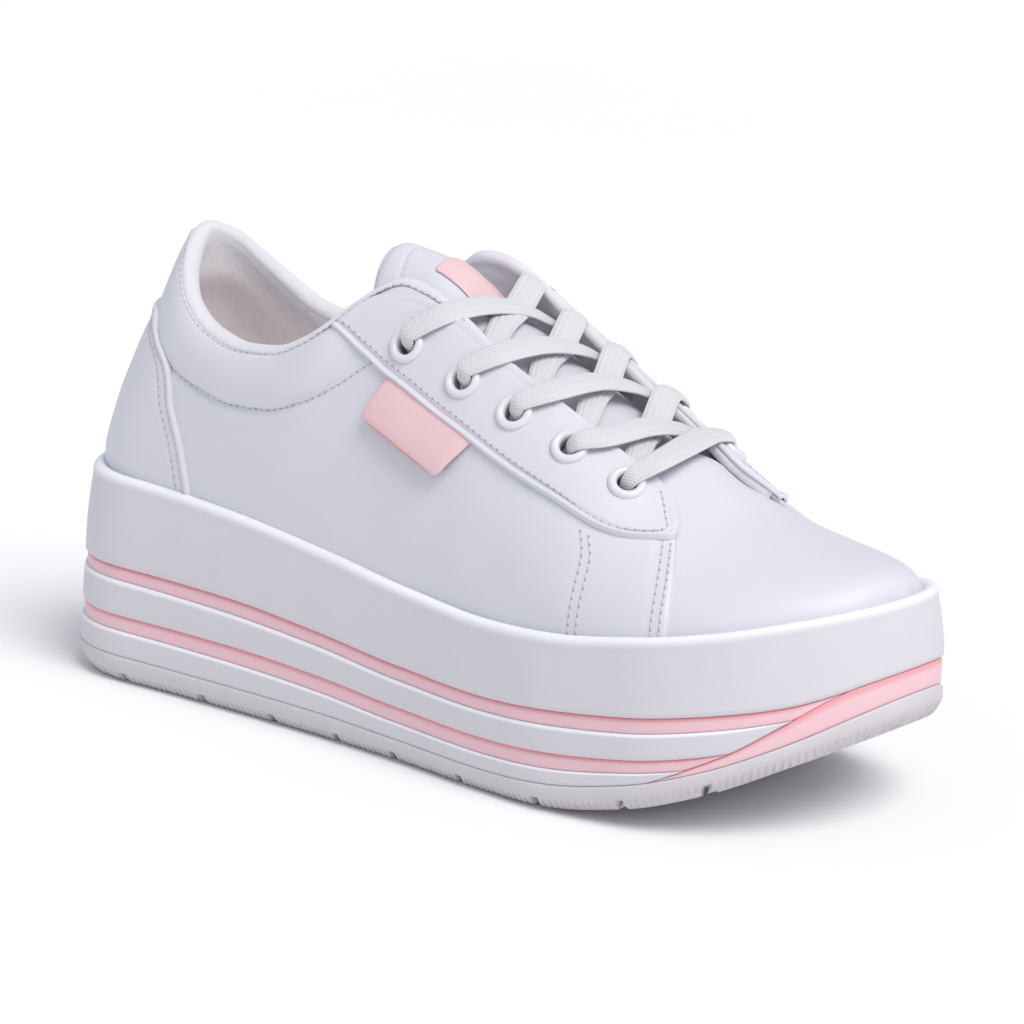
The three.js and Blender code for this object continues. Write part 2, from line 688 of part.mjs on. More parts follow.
function makeTongue() {
  const thickness = (x) => lerp(TONGUE.pad, TONGUE.base, smooth((x - 108) / 60));
  const sag = through(TONGUE_SAG, "x", "drop");
  const under = ({ x, y }) => UPPER.wall + TONGUE.clear + sag(x) * clamp01(1 - (y / SAG_HALF) ** 2);
  const body = lastSolid((point) => -under(point), footbed).subtract(
    lastSolid((point) => -under(point) - thickness(point.x), (s) => footbed(s) - 6),
  );
  const { from, to, halfTop, halfBase, corner } = TONGUE;
  const bend = Array.from({ length: 5 }, (_, i) => {
    const angle = (Math.PI / 2) * (i / 4);
    return { x: from + corner - corner * Math.sin(angle), y: halfTop - corner + corner * Math.cos(angle) };
  });
  const half = [{ x: to, y: halfBase }, ...bend];
  const outline = [...half, ...half.map((p) => ({ x: p.x, y: -p.y })).reverse()];
  return body.intersect(planCutter(outline, 60, 190));
}

function makeInsole() {
  const clear = UPPER.wall + INSOLE.clear;
  const sections = stations(LAST.stations, LAST.toe).map((s) => {
    const place = (side, rise) => {
      const at = lastPoint(side, s, 0);
      const out = lastNormal(side, s, 0.02).setZ(0).normalize();
      at.addScaledVector(out, -clear);
      return at.setZ(footbed(s) + rise);
    };
    return [
      place(LATERAL, GAP),
      place(LATERAL, INSOLE.thick),
      place(MEDIAL, INSOLE.thick),
      place(MEDIAL, GAP),
    ];
  });
  return skin(sections);
}

/** The folded tag under the outer eyestay: a plate that stands off the upper towards its free edge. */
function makeSideTag() {
  const edge = through(EYESTAY_EDGE.slice(0, 11), "x", "z");
  const [from, to] = TAG.along;
  const across = 8;
  const steps = 4;
  const sections = Array.from({ length: across + 1 }, (_, i) => {
    const u = i / across;
    const nearEnd = Math.min(u, 1 - u) * (to - from);
    const ease = TAG.corner - Math.sqrt(Math.max(0, TAG.corner ** 2 - Math.max(0, TAG.corner - nearEnd) ** 2));
    const row = (rise) =>
      Array.from({ length: steps + 1 }, (_, j) => {
        const down = 0.9 + (j / steps) * (TAG.drop - ease);
        const x = lerp(from, to, u) + TAG.slant * down;
        const z = edge(lerp(from, to, u)) - down;
        const [s, level] = stationOf(LATERAL, x, z);
        return over(LATERAL, s, level, lerp(...TAG.lift, down / TAG.drop) + rise);
      });
    return [...row(0), ...row(TAG.thick).reverse()];
  });
  return skin(sections, true);
}

function makeEyelet(place) {
  const { hole, barrel, flange, rise, grip, segments } = EYELET;
  const seat = OVERLAY.to + GAP;
  const profile = [
    [hole, -grip],
    [barrel, -grip],
    [barrel, seat],
    [flange, seat],
    [flange - 0.5, seat + rise],
    [hole + 0.6, seat + rise],
    [hole, seat],
    [hole, -grip],
  ].map(([r, z]) => new THREE.Vector2(r, z));
  const ring = new THREE.LatheGeometry(profile, segments);
  ring.rotateX(Math.PI / 2);
  return standOn(ring, place);
}

// ---------------------------------------------------------------- the lace

/** A flat ribbon along places { at, normal }, as wide as the lace, with rounded edges. */
function ribbon(places) {
  const curve = new THREE.CatmullRomCurve3(places.map((p) => p.at));
  const normals = new THREE.CatmullRomCurve3(places.map((p) => p.normal));
  const steps = 8;
  const sections = Array.from({ length: steps + 1 }, (_, i) => {
    const t = i / steps;
    const along = curve.getTangent(t);
    const normal = normals.getPoint(t).projectOnPlane(along).normalize();
    const across = new THREE.Vector3().crossVectors(normal, along);
    const corner = (w, h) =>
      curve.getPoint(t).addScaledVector(across, w * LACE.width).addScaledVector(normal, h * LACE.thick);
    return [corner(-0.5, 0), corner(-0.36, 0.5), corner(0.36, 0.5), corner(0.5, 0), corner(0.36, -0.5), corner(-0.36, -0.5)];
  });
  return skin(sections, true);
}

/** A place over the crown at plan position x, y. */
function overCrown(x, y, height) {
  const side = y < 0 ? LATERAL : MEDIAL;
  const level = levelAcross(side, x, Math.abs(y));
  const normal = lastNormal(side, x, level);
  return { at: lastPoint(side, x, level).addScaledVector(normal, height), normal };
}

/** One strand, from over its eyelet, across the throat and down to the tongue by the far eyestay. */
function strand(side, places) {
  return ribbon(places.map((place) => overCrown(place.s, side * place.y, place.over)));
}

/** The lowest bar, straight over the throat from eyelet to eyelet. */
function makeLaceBar() {
  const [outer, inner] = SIDES.map((side) => eyeletPlaces(side)[EYELET_ROW.length - 1]);
  const bow = 3.4;
  const shares = [0.02, 0.22, 0.5, 0.78, 0.98];
  return ribbon(
    shares.map((share) => {
      const y = lerp(-outer.y, inner.y, share);
      const near = Math.abs(share - 0.5) * 2;
      const height = lerp(LACE.overEdge, LACE.overEyelet, near ** 3);
      return overCrown(outer.s + bow * (1 - near * near), y, height);
    }),
  );
}

// ---------------------------------------------------------------- the shoe

const shoe = new THREE.Group();
const add = (name, made, look) => shoe.add(piece(name, made, look));

add("outsole", makeOutsole(), "rubber");
add("toe_wedge", makeToeWedge(), "pink");
add("midsole_base", makeFoamLayer(sole.tread, sole.base, 0.2, 222), "foam");
add("stripe_lower", makeFoamLayer(sole.base, sole.lower, SOLE.stripeInset, 237), "pink");
add("midsole_middle", makeFoamLayer(sole.lower, sole.middle, 0.1, 250), "foam");
add("stripe_upper", makeFoamLayer(sole.middle, sole.band, SOLE.stripeInset, 260), "pink");
add("midsole_cup", makeCup(lastSolid(() => GAP, footbed)), "foam");
add("insole", makeInsole(), "lining");

const collarCut = overTopLine();
const throatCut = throatCutter();
const holes = eyeletHoles();
const leatherLayer = overlayLayer();
add("upper", makeUpper(holes, collarCut, throatCut), "leather");
add("eyestay_lateral", makeEyestay(LATERAL, leatherLayer, holes, collarCut, throatCut), "leather");
add("eyestay_medial", makeEyestay(MEDIAL, leatherLayer, holes, collarCut, throatCut), "leather");
add("heel_counter", makeHeelCounter(leatherLayer), "leather");
add("tongue", makeTongue(), "lining");
add("side_tag", makeSideTag(), "tag");

for (const side of SIDES) {
  const sideName = side === LATERAL ? "lateral" : "medial";
  eyeletPlaces(side).forEach((place, i) => {
    add(`eyelet_${sideName}_${i + 1}`, makeEyelet(place), "eyelet");
  });
}

STRANDS.forEach((places, i) => {
  const crossing = strand(LATERAL, places).add(strand(MEDIAL, places));
  add(`lace_cross_${i + 1}`, crossing, "lace");
});
add("lace_bar", makeLaceBar(), "lace");

// The box of the whole shoe stands with the middle of its foot on the origin.
const box = new THREE.Box3().setFromObject(shoe);
const middle = box.getCenter(new THREE.Vector3());
shoe.position.set(-middle.x, -middle.y, -box.min.z);

export default shoe;
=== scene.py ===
"""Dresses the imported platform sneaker: leather, padded collar, laces, stitches and a layered sole."""

import json
import logging
import math
from collections.abc import Callable, Sequence
from dataclasses import dataclass, field
from enum import Enum

import bmesh
import bpy
import numpy as np
from mathutils import Matrix, Vector
from mathutils.bvhtree import BVHTree

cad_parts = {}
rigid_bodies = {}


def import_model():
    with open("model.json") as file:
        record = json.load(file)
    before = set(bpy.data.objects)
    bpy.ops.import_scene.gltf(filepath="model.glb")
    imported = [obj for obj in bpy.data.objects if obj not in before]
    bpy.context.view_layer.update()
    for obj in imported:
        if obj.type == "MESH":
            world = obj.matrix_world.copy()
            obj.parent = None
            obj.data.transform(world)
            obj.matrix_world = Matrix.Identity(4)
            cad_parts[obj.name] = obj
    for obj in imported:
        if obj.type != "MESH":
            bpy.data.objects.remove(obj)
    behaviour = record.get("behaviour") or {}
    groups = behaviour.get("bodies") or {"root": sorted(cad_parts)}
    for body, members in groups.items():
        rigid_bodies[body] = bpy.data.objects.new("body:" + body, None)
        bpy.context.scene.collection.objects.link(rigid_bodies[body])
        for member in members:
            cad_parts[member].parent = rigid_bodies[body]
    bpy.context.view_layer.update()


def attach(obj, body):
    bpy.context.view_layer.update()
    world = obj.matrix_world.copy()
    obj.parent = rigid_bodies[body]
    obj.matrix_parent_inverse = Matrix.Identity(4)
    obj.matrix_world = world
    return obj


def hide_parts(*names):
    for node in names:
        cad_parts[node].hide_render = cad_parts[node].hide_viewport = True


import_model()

log = logging.getLogger("sneaker")

Array = np.ndarray
Piece = bpy.types.Object
Socket = bpy.types.NodeSocket

MM = 0.001
MIDDLE = np.array((134.3, 0.283, 0.0))  # the middle of the shoe's foot, from the heel's back, in mm
ROOT = "root"


class Side(Enum):
    """The two sides of a right shoe, as signs of y."""

    OUTER = -1.0
    INNER = 1.0

    @property
    def word(self) -> str:
        """The side's word in the names of pieces."""
        return self.name.lower()

    @property
    def node(self) -> str:
        """The side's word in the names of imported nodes."""
        return "lateral" if self is Side.OUTER else "medial"


class Slot(Enum):
    """The record's material slots."""

    LEATHER = "leather"
    WHITE_FOAM = "white_foam"
    PINK_FOAM = "pink_foam"
    RUBBER = "rubber"
    LINING = "lining"
    TAG = "tag"
    EYELET = "eyelet"
    LACE = "lace"


# ---------------------------------------------------------------- numbers


def smooth(t: Array) -> Array:
    """Eases from 0 to 1 while t goes from 0 to 1."""
    u = np.clip(t, 0.0, 1.0)
    return u * u * (3.0 - 2.0 * u)


def bell(distance: Array, width: float) -> Array:
    """A soft ridge of height 1 and the given half width."""
    return np.exp(-((np.asarray(distance) / width) ** 2))


def rounded(distance: Array, radius: float) -> Array:
    """A quarter round that climbs from 0 to 1 over the radius."""
    return np.sqrt(1.0 - (1.0 - np.clip(np.asarray(distance) / radius, 0.0, 1.0)) ** 2)


def unit(vectors: Array) -> Array:
    """The same directions at length 1."""
    return vectors / np.maximum(np.linalg.norm(vectors, axis=-1, keepdims=True), 1e-9)


def travelled(points: Array, axis: int = 0) -> Array:
    """The distance from the first point to each, along one axis of a line or a grid."""
    first = points[:1] if axis == 0 else points[:, :1]
    return np.cumsum(np.linalg.norm(np.diff(points, axis=axis, prepend=first), axis=-1), axis=axis)


class Track:
    """A curve through short rows of numbers that never swings past them."""

    def __init__(self, rows: Sequence[tuple[float, float]]) -> None:
        """Takes rows of (at, value)."""
        self.at = np.array([r[0] for r in rows], float)
        self.value = np.array([r[1] for r in rows], float)
        self.step = np.diff(self.at)
        rise = np.diff(self.value) / self.step
        slope = np.concatenate(([rise[0]], np.zeros(len(rows) - 2), [rise[-1]]))
        for i in range(1, len(rows) - 1):
            a, b = rise[i - 1], rise[i]
            slope[i] = 0.0 if a * b <= 0 else 2 * a * b / (a + b)
        self.slope = slope

    def __call__(self, at: Array) -> Array:
        """The value at one place or many.

        Args:
            at: Where to read the curve.

        Returns:
            The values, in the shape of the places.
        """
        at = np.asarray(at, float)
        i = np.clip(np.searchsorted(self.at, at, side="right") - 1, 0, len(self.at) - 2)
        t = np.clip((at - self.at[i]) / self.step[i], 0.0, 1.0)
        h = self.step[i]
        start = self.value[i] * (1 + 2 * t) * (1 - t) ** 2 + self.slope[i] * h * t * (1 - t) ** 2
        end = self.value[i + 1] * t * t * (3 - 2 * t) + self.slope[i + 1] * h * t * t * (t - 1)
        return start + end


def columns(names: str, rows: Sequence[tuple[float, ...]]) -> dict[str, Track]:
    """Curves for the named columns of a table whose first column is the place."""
    return {name: Track([(r[0], r[i + 1]) for r in rows]) for i, name in enumerate(names.split())}


def end_rounding(x: Array, length: float, heel: float, toe: float) -> Array:
    """How much of the full breadth is left near the heel's and the toe's round ends."""
    x = np.asarray(x, float)
    back = (1 - np.clip(1 - x / heel, 0, 1) ** 2.6) ** (1 / 2.3)
    front = (1 - np.clip(1 - (length - x) / toe, 0, 1) ** 2.5) ** (1 / 2.2)
    return back * front


def resampled(points: Array, count: int) -> Array:
    """Evenly spaced points on a broken line."""
    along = travelled(points)
    wanted = np.linspace(0.0, along[-1], count)
    return np.stack([np.interp(wanted, along, points[:, k]) for k in range(points.shape[1])], -1)


def spline(points: Array, count: int) -> Array:
    """A smooth curve through all the points, evenly spaced.

    Args:
        points: Places the curve goes through.
        count: How many points to give back.

    Returns:
        The points of the curve.
    """
    padded = np.vstack([2 * points[0] - points[1], points, 2 * points[-1] - points[-2]])
    pieces = []
    t = np.linspace(0.0, 1.0, 24, endpoint=False)[:, None]
    for a, b, c, d in zip(padded, padded[1:], padded[2:], padded[3:]):
        bend = 2 * a - 5 * b + 4 * c - d
        twist = -a + 3 * b - 3 * c + d
        pieces.append(0.5 * (2 * b + (c - a) * t + bend * t**2 + twist * t**3))
    return resampled(np.vstack([*pieces, points[-1:]]), count)


# ---------------------------------------------------------------- the sole's outline and the last

SOLE_LENGTH = 270.0
SOLE = columns(
    "half ground tread base lower middle band rim",
    (
        (0, 35.2, 1.6, 8.4, 15.2, 19.6, 29.8, 33.4, 59.4),
        (35, 35.4, 0, 7.8, 14.8, 19.3, 29.1, 33.0, 58.2),
        (70, 36.8, 0, 7.6, 14.3, 19.0, 28.0, 32.2, 55.8),
        (105, 39.2, 0, 7.4, 13.0, 17.6, 25.7, 29.6, 51.7),
        (135, 42.6, 0, 6.8, 11.2, 15.7, 23.0, 27.0, 47.8),
        (165, 47.6, 0, 6.6, 10.7, 15.1, 22.2, 26.1, 46.0),
        (190, 50.6, 0.8, 7.8, 11.8, 16.2, 23.4, 27.5, 47.2),
        (215, 49.8, 5.2, 12.2, 15.2, 18.8, 25.8, 30.0, 50.6),
        (235, 47.4, 11.8, 18.4, 19.4, 22.4, 29.0, 33.0, 54.2),
        (253, 44.6, 20.4, 26.8, 27.0, 28.0, 33.0, 36.6, 58.4),
        (270, 41.6, 29.2, 37.2, 38.0, 38.6, 40.0, 43.4, 62.4),
    ),
)
WEDGE_TOP = Track([(212, 9.5), (227, 16.4), (241, 23.8), (253, 32.6), (263, 40.4), (270, 43.8)])
WEDGE_FROM = 205.0
FOOTBED_DEPTH = 9.0
SWING = 4.5
SWING_FROM = 120.0


def swing(x: Array) -> Array:
    """How far the outline's middle swings to the inner side towards the toe."""
    return SWING * np.clip((np.asarray(x) - SWING_FROM) / (SOLE_LENGTH - SWING_FROM), 0, 1) ** 2


def wedge_top(x: Array) -> Array:
    """The height of the toe wedge, and 0 behind it."""
    return np.where(x > WEDGE_FROM, WEDGE_TOP(x), 0.0)


def footbed(x: Array) -> Array:
    """The height of the cup's floor."""
    return SOLE["rim"](x) - FOOTBED_DEPTH


class Last:
    """The form the upper is pulled over; s runs from the heel forwards, level from the footbed up."""

    toe = 264.6
    heel_round = 30.0
    toe_round = 57.0
    lean_fades = 120.0
    belly_level = 0.2
    sections = columns(
        "outer inner belly crown fullness",
        (
            (0, 26.6, 26.0, 13, 134, 2.5),
            (40, 29.4, 28.6, 14, 134, 2.5),
            (70, 31.8, 30.4, 15, 136.5, 2.35),
            (90, 33.2, 31.6, 15, 137.4, 2.1),
            (106, 34.2, 32.6, 14, 134.6, 1.85),
            (122, 35.4, 34.0, 13, 131.6, 1.7),
            (140, 37.4, 36.2, 12, 123.8, 1.65),
            (158, 40.0, 38.6, 11, 112.6, 1.65),
            (176, 42.6, 41.2, 10, 100.6, 1.7),
            (192, 44.0, 42.6, 9, 89.4, 1.75),
            (206, 44.0, 42.8, 8, 80.0, 1.8),
            (222, 42.8, 41.6, 7, 73.8, 1.85),
            (238, 40.4, 39.4, 6, 70.6, 1.95),
            (250, 38.4, 37.6, 5, 69.0, 2.05),
            (258, 37.0, 36.4, 4, 67.6, 2.1),
            (262.6, 36.2, 35.6, 3, 65.6, 2.1),
            (264.6, 35.8, 35.2, 2, 61.6, 2.0),
        ),
    )
    heel_lean = Track(
        [(45, 4.8), (60, 4.8), (75, 8.8), (90, 15.0), (103, 20.8), (115, 25.4), (127, 29.0), (155, 33.8)]
    )

    @classmethod
    def breadth(cls, side: Array, s: Array) -> Array:
        """The last's half breadth at its widest level."""
        full = np.where(np.asarray(side) < 0, cls.sections["outer"](s), cls.sections["inner"](s))
        return full * end_rounding(s, cls.toe, cls.heel_round, cls.toe_round)

    @classmethod
    def point(cls, side: Array, s: Array, level: Array) -> Array:
        """Places on the last's surface, in mm.

        Args:
            side: -1 on the outer side and 1 on the inner.
            s: Stations along the last.
            level: 0 at the footbed, 1 on the crown line.

        Returns:
            An array with x, y, z last.
        """
        side, s, level = np.broadcast_arrays(np.asarray(side, float), np.asarray(s, float), level)
        half = cls.breadth(side, s)
        floor = footbed(s)
        belly = floor + cls.sections["belly"](s)
        below = 1 - level / cls.belly_level
        angle = np.clip((level - cls.belly_level) / (1 - cls.belly_level), 0, 1) * math.pi / 2
        low = level < cls.belly_level
        y = np.where(low, half * (1 - 0.035 * below**2), half * np.cos(angle))
        arch = np.sin(angle) ** (2 / cls.sections["fullness"](s))
        z = np.where(low, belly + (floor - belly) * below, belly + (cls.sections["crown"](s) - belly) * arch)
        x = s + cls.heel_lean(z) * (1 - smooth(s / cls.lean_fades))
        return np.stack([x, swing(s) + side * y, z], -1)

    @classmethod
    def normal(cls, side: Array, s: Array, level: Array) -> Array:
        """Outward directions at places on the last's surface."""
        s = np.clip(s, 0.3, cls.toe - 0.3)
        level = np.clip(level, 0.004, 0.996)
        along = cls.point(side, s + 0.2, level) - cls.point(side, s - 0.2, level)
        up = cls.point(side, s, level + 0.003) - cls.point(side, s, level - 0.003)
        return unit(np.cross(along, up)) * -np.asarray(side, float)[..., None]

    @classmethod
    def skin(cls, side: Array, s: Array, level: Array) -> tuple[Array, Array]:
        """Places on the last's surface, and the outward directions there."""
        return cls.point(side, s, level), cls.normal(side, s, level)

    @classmethod
    def over(cls, side: Array, s: Array, level: Array, height: Array) -> Array:
        """Places at a height over the last's surface."""
        side, s, level, height = np.broadcast_arrays(side, s, level, height)
        return cls.point(side, s, level) + cls.normal(side, s, level) * height[..., None]

    @classmethod
    def locate(cls, x: Array, z: Array) -> tuple[Array, Array]:
        """The station and level of places given by x and z."""
        x, z = np.asarray(x, float), np.asarray(z, float)
        s = x.copy()
        for _ in range(30):
            s = np.maximum(x - cls.heel_lean(z) * (1 - smooth(s / cls.lean_fades)), 0.0)
        belly = footbed(s) + cls.sections["belly"](s)
        share = np.clip((z - belly) / (cls.sections["crown"](s) - belly), 0, 1)
        angle = np.arcsin(share ** (cls.sections["fullness"](s) / 2))
        high = cls.belly_level + (1 - cls.belly_level) * angle / (math.pi / 2)
        low = np.clip(1 - (belly - z) / (belly - footbed(s)), 0, 1) * cls.belly_level
        return s, np.where(z < belly, low, high)

    @classmethod
    def across(cls, s: Array, y: Array, height: Array) -> Array:
        """Places over the crown, given by station and by distance y from the crown line."""
        s, y, height = np.broadcast_arrays(np.asarray(s, float), np.asarray(y, float), height)
        side = np.where(y < 0, -1.0, 1.0)
        angle = np.arccos(np.clip(np.abs(y) / cls.breadth(side, s), 0, 1))
        level = cls.belly_level + (1 - cls.belly_level) * angle / (math.pi / 2)
        return cls.over(side, s, level, height)


# ---------------------------------------------------------------- meshes


def clearance(points: Array, line: Array) -> Array:
    """The distance from each point to a line of straight runs."""
    best = np.full(points.shape[:-1], 1e9)
    for a, b in zip(line[:-1], line[1:]):
        run = b - a
        t = np.clip(((points - a) @ run) / max(float(run @ run), 1e-12), 0, 1)
        best = np.minimum(best, np.linalg.norm(points - a - t[..., None] * run, axis=-1))
    return best


def to_row(points: Array) -> Array:
    """From the shoe's millimetres to the row frame's metres."""
    return (np.asarray(points, float).reshape(-1, 3) - MIDDLE) * MM


def make_object(
    name: str, points: Array, faces: list, uvs: Array | None = None
) -> Piece:
    """A smooth-shaded mesh object.

    Args:
        name: The piece's name.
        points: Vertices in the shoe's millimetres.
        faces: Vertex numbers of each face.
        uvs: One pair for each vertex, in millimetres along and across the piece.

    Returns:
        The object, in the scene.
    """
    mesh = bpy.data.meshes.new(name)
    mesh.from_pydata(to_row(points).tolist(), [], faces)
    if uvs is not None:
        layer = mesh.uv_layers.new(name="along_across")
        corners = np.empty(len(mesh.loops), dtype=np.int32)
        mesh.loops.foreach_get("vertex_index", corners)
        layer.data.foreach_set("uv", np.asarray(uvs, np.float32).reshape(-1, 2)[corners].ravel())
    mesh.polygons.foreach_set("use_smooth", np.ones(len(mesh.polygons), dtype=bool))
    mesh.update()
    made = bpy.data.objects.new(name, mesh)
    bpy.context.scene.collection.objects.link(made)
    return made


def grid_faces(
    rows: int, cols: int, ring: bool = False, skip: Array | None = None, start: int = 0
) -> list:
    """The quads of a grid of vertices numbered row by row."""
    last = cols if ring else cols - 1
    faces = []
    for i in range(rows - 1):
        for j in range(last):
            if skip is not None and skip[i, j]:
                continue
            k = (j + 1) % cols
            a, b = start + i * cols, start + (i + 1) * cols
            faces.append((a + j, b + j, b + k, a + k))
    return faces


def tube_faces(rings: int, around: int) -> list:
    """The faces of a tube of rings with flat ends."""
    ends = [tuple(range(around)), tuple(reversed(range((rings - 1) * around, rings * around)))]
    return grid_faces(rings, around, ring=True) + ends


def grid_normals(points: Array) -> Array:
    """Directions square to a grid of points."""
    return unit(np.cross(np.gradient(points, axis=0), np.gradient(points, axis=1)))


def tidy_mesh(made: Piece, merge: float = 1e-6) -> Piece:
    """Welds doubled points and turns all faces outwards."""
    work = bmesh.new()
    work.from_mesh(made.data)
    bmesh.ops.remove_doubles(work, verts=work.verts, dist=merge)
    bmesh.ops.dissolve_degenerate(work, edges=work.edges, dist=1e-8)
    bmesh.ops.recalc_face_normals(work, faces=work.faces)
    work.to_mesh(made.data)
    work.free()
    return made


def sheet_of(
    name: str, points: Array, outward: Array, thick: float, skip: Array | None = None
) -> Piece:
    """A skin with real thickness from a grid of its outer surface.

    Args:
        name: The piece's name.
        points: Grid of places on the outer surface.
        outward: The direction away from the leather at each place.
        thick: How thick the skin is, inwards, in mm.
        skip: Cells that are left open.

    Returns:
        The closed piece.
    """
    if (grid_normals(points) * outward).sum() < 0:
        points = points[::-1]
        skip = None if skip is None else skip[::-1]
    rows, cols = points.shape[:2]
    uvs = np.stack([travelled(points), travelled(points, 1)], -1)
    made = make_object(name, points, grid_faces(rows, cols, skip=skip), uvs)
    work = bmesh.new()
    work.from_mesh(made.data)
    bmesh.ops.remove_doubles(work, verts=work.verts, dist=2e-6)
    loose = [v for v in work.verts if not v.link_faces]
    bmesh.ops.delete(work, geom=loose, context="VERTS")
    work.to_mesh(made.data)
    work.free()
    solid = made.modifiers.new("thickness", "SOLIDIFY")
    solid.thickness = thick * MM
    solid.offset = -1.0
    solid.use_even_offset = False
    thickened = made.evaluated_get(bpy.context.evaluated_depsgraph_get())
    mesh = bpy.data.meshes.new_from_object(thickened)
    made.modifiers.clear()
    made.data = mesh
    return tidy_mesh(made)


def loft(name: str, sections: Array, climb: Array) -> Piece:
    """A closed body through ring-shaped sections, with flat ends.

    Args:
        name: The piece's name.
        sections: The rings, one after another.
        climb: How far up the wall each point of a ring is, for the map.

    Returns:
        The closed piece.
    """
    uvs = np.stack([travelled(sections), np.broadcast_to(climb, sections.shape[:2])], -1)
    return tidy_mesh(make_object(name, sections, tube_faces(*sections.shape[:2]), uvs))


def pillow(name: str, place: Callable, counts: tuple[int, int], edge: float = 10.0) -> Piece:
    """A closed soft plate: two skins that meet along a rounded edge.

    Args:
        name: The piece's name.
        place: Gives the points for p, q in -1..1 and a height share in -1..1.
        counts: How many points along p and q.
        edge: Higher keeps the plate flat closer to its edge.

    Returns:
        The closed piece.
    """
    p = np.sin(np.linspace(-1, 1, counts[0]) * math.pi / 2)[:, None]
    q = np.sin(np.linspace(-1, 1, counts[1]) * math.pi / 2)[None, :]
    p, q = np.broadcast_arrays(p, q)
    share = np.sqrt(np.clip(1 - np.abs(p) ** edge, 0, 1) * np.clip(1 - np.abs(q) ** edge, 0, 1))
    top, bottom = place(p, q, share), place(p, q, -share)
    size = counts[0] * counts[1]
    faces = grid_faces(*counts) + [tuple(reversed(f)) for f in grid_faces(*counts, start=size)]
    uvs = np.stack([travelled(top), travelled(top, 1)], -1).reshape(-1, 2)
    points = np.vstack([top.reshape(-1, 3), bottom.reshape(-1, 3)])
    return tidy_mesh(make_object(name, points, faces, np.vstack([uvs, uvs])), 2e-6)


def ribbon(
    name: str, path: Array, ups: Array, widths: Array, thick: float, around: int = 56
) -> Piece:
    """A flat lace with ribs that run along it.

    Args:
        name: The piece's name.
        path: The middle line's points.
        ups: The side that faces up at each point.
        widths: The lace's width at each point.
        thick: Its thickness in mm.
        around: How many points go round it.

    Returns:
        The closed piece.
    """
    along = unit(np.gradient(path, axis=0))
    up = unit(ups - (ups * along).sum(-1, keepdims=True) * along)
    aside = np.cross(along, up)
    angle = np.linspace(0, 2 * math.pi, around, endpoint=False)
    c, s = np.cos(angle), np.sin(angle)
    w = np.sign(c) * np.abs(c) ** 0.8
    h = np.sign(s) * np.abs(s) ** 0.62
    ribs = 0.13 * np.cos(w * math.pi * 5.5) * np.abs(s)
    width = widths[:, None, None] / 2
    cup = 0.07 * widths[:, None, None] * (w**2)[None, :, None]
    height = (thick / 2 * h + ribs * np.sign(s))[None, :, None] - cup
    points = path[:, None] + aside[:, None] * w[None, :, None] * width + up[:, None] * height
    uvs = np.stack(np.broadcast_arrays(travelled(path)[:, None], (w * 3.6)[None, :]), -1)
    return tidy_mesh(make_object(name, points, tube_faces(len(path), around), uvs))


def grains(
    name: str, places: Array, along: Array, normals: Array, size: tuple[float, float, float]
) -> Piece:
    """Many small rounded grains in one mesh, such as the threads of a seam.

    Args:
        name: The piece's name.
        places: The grains' middles.
        along: Their long directions.
        normals: Their upward directions.
        size: Half length, half width and half height in mm.

    Returns:
        The piece.
    """
    rings, around = 7, 8
    lat = np.linspace(0, math.pi, rings)
    lon = np.linspace(0, 2 * math.pi, around, endpoint=False)
    ball = np.stack(
        np.broadcast_arrays(
            np.cos(lat)[:, None], np.sin(lat)[:, None] * np.cos(lon), np.sin(lat)[:, None] * np.sin(lon)
        ),
        -1,
    ).reshape(-1, 3)
    ball[:, 0] = np.sign(ball[:, 0]) * np.abs(ball[:, 0]) ** 0.8
    along = unit(along)
    normals = unit(normals - (normals * along).sum(-1, keepdims=True) * along)
    aside = np.cross(normals, along)
    axes = np.stack([along * size[0], aside * size[1], normals * size[2]], 1)
    points = places[:, None] + ball[None] @ axes
    base = grid_faces(rings, around, ring=True)
    faces = [tuple(v + n * len(ball) for v in f) for n in range(len(places)) for f in base]
    return tidy_mesh(make_object(name, points, faces))


# ---------------------------------------------------------------- finishes


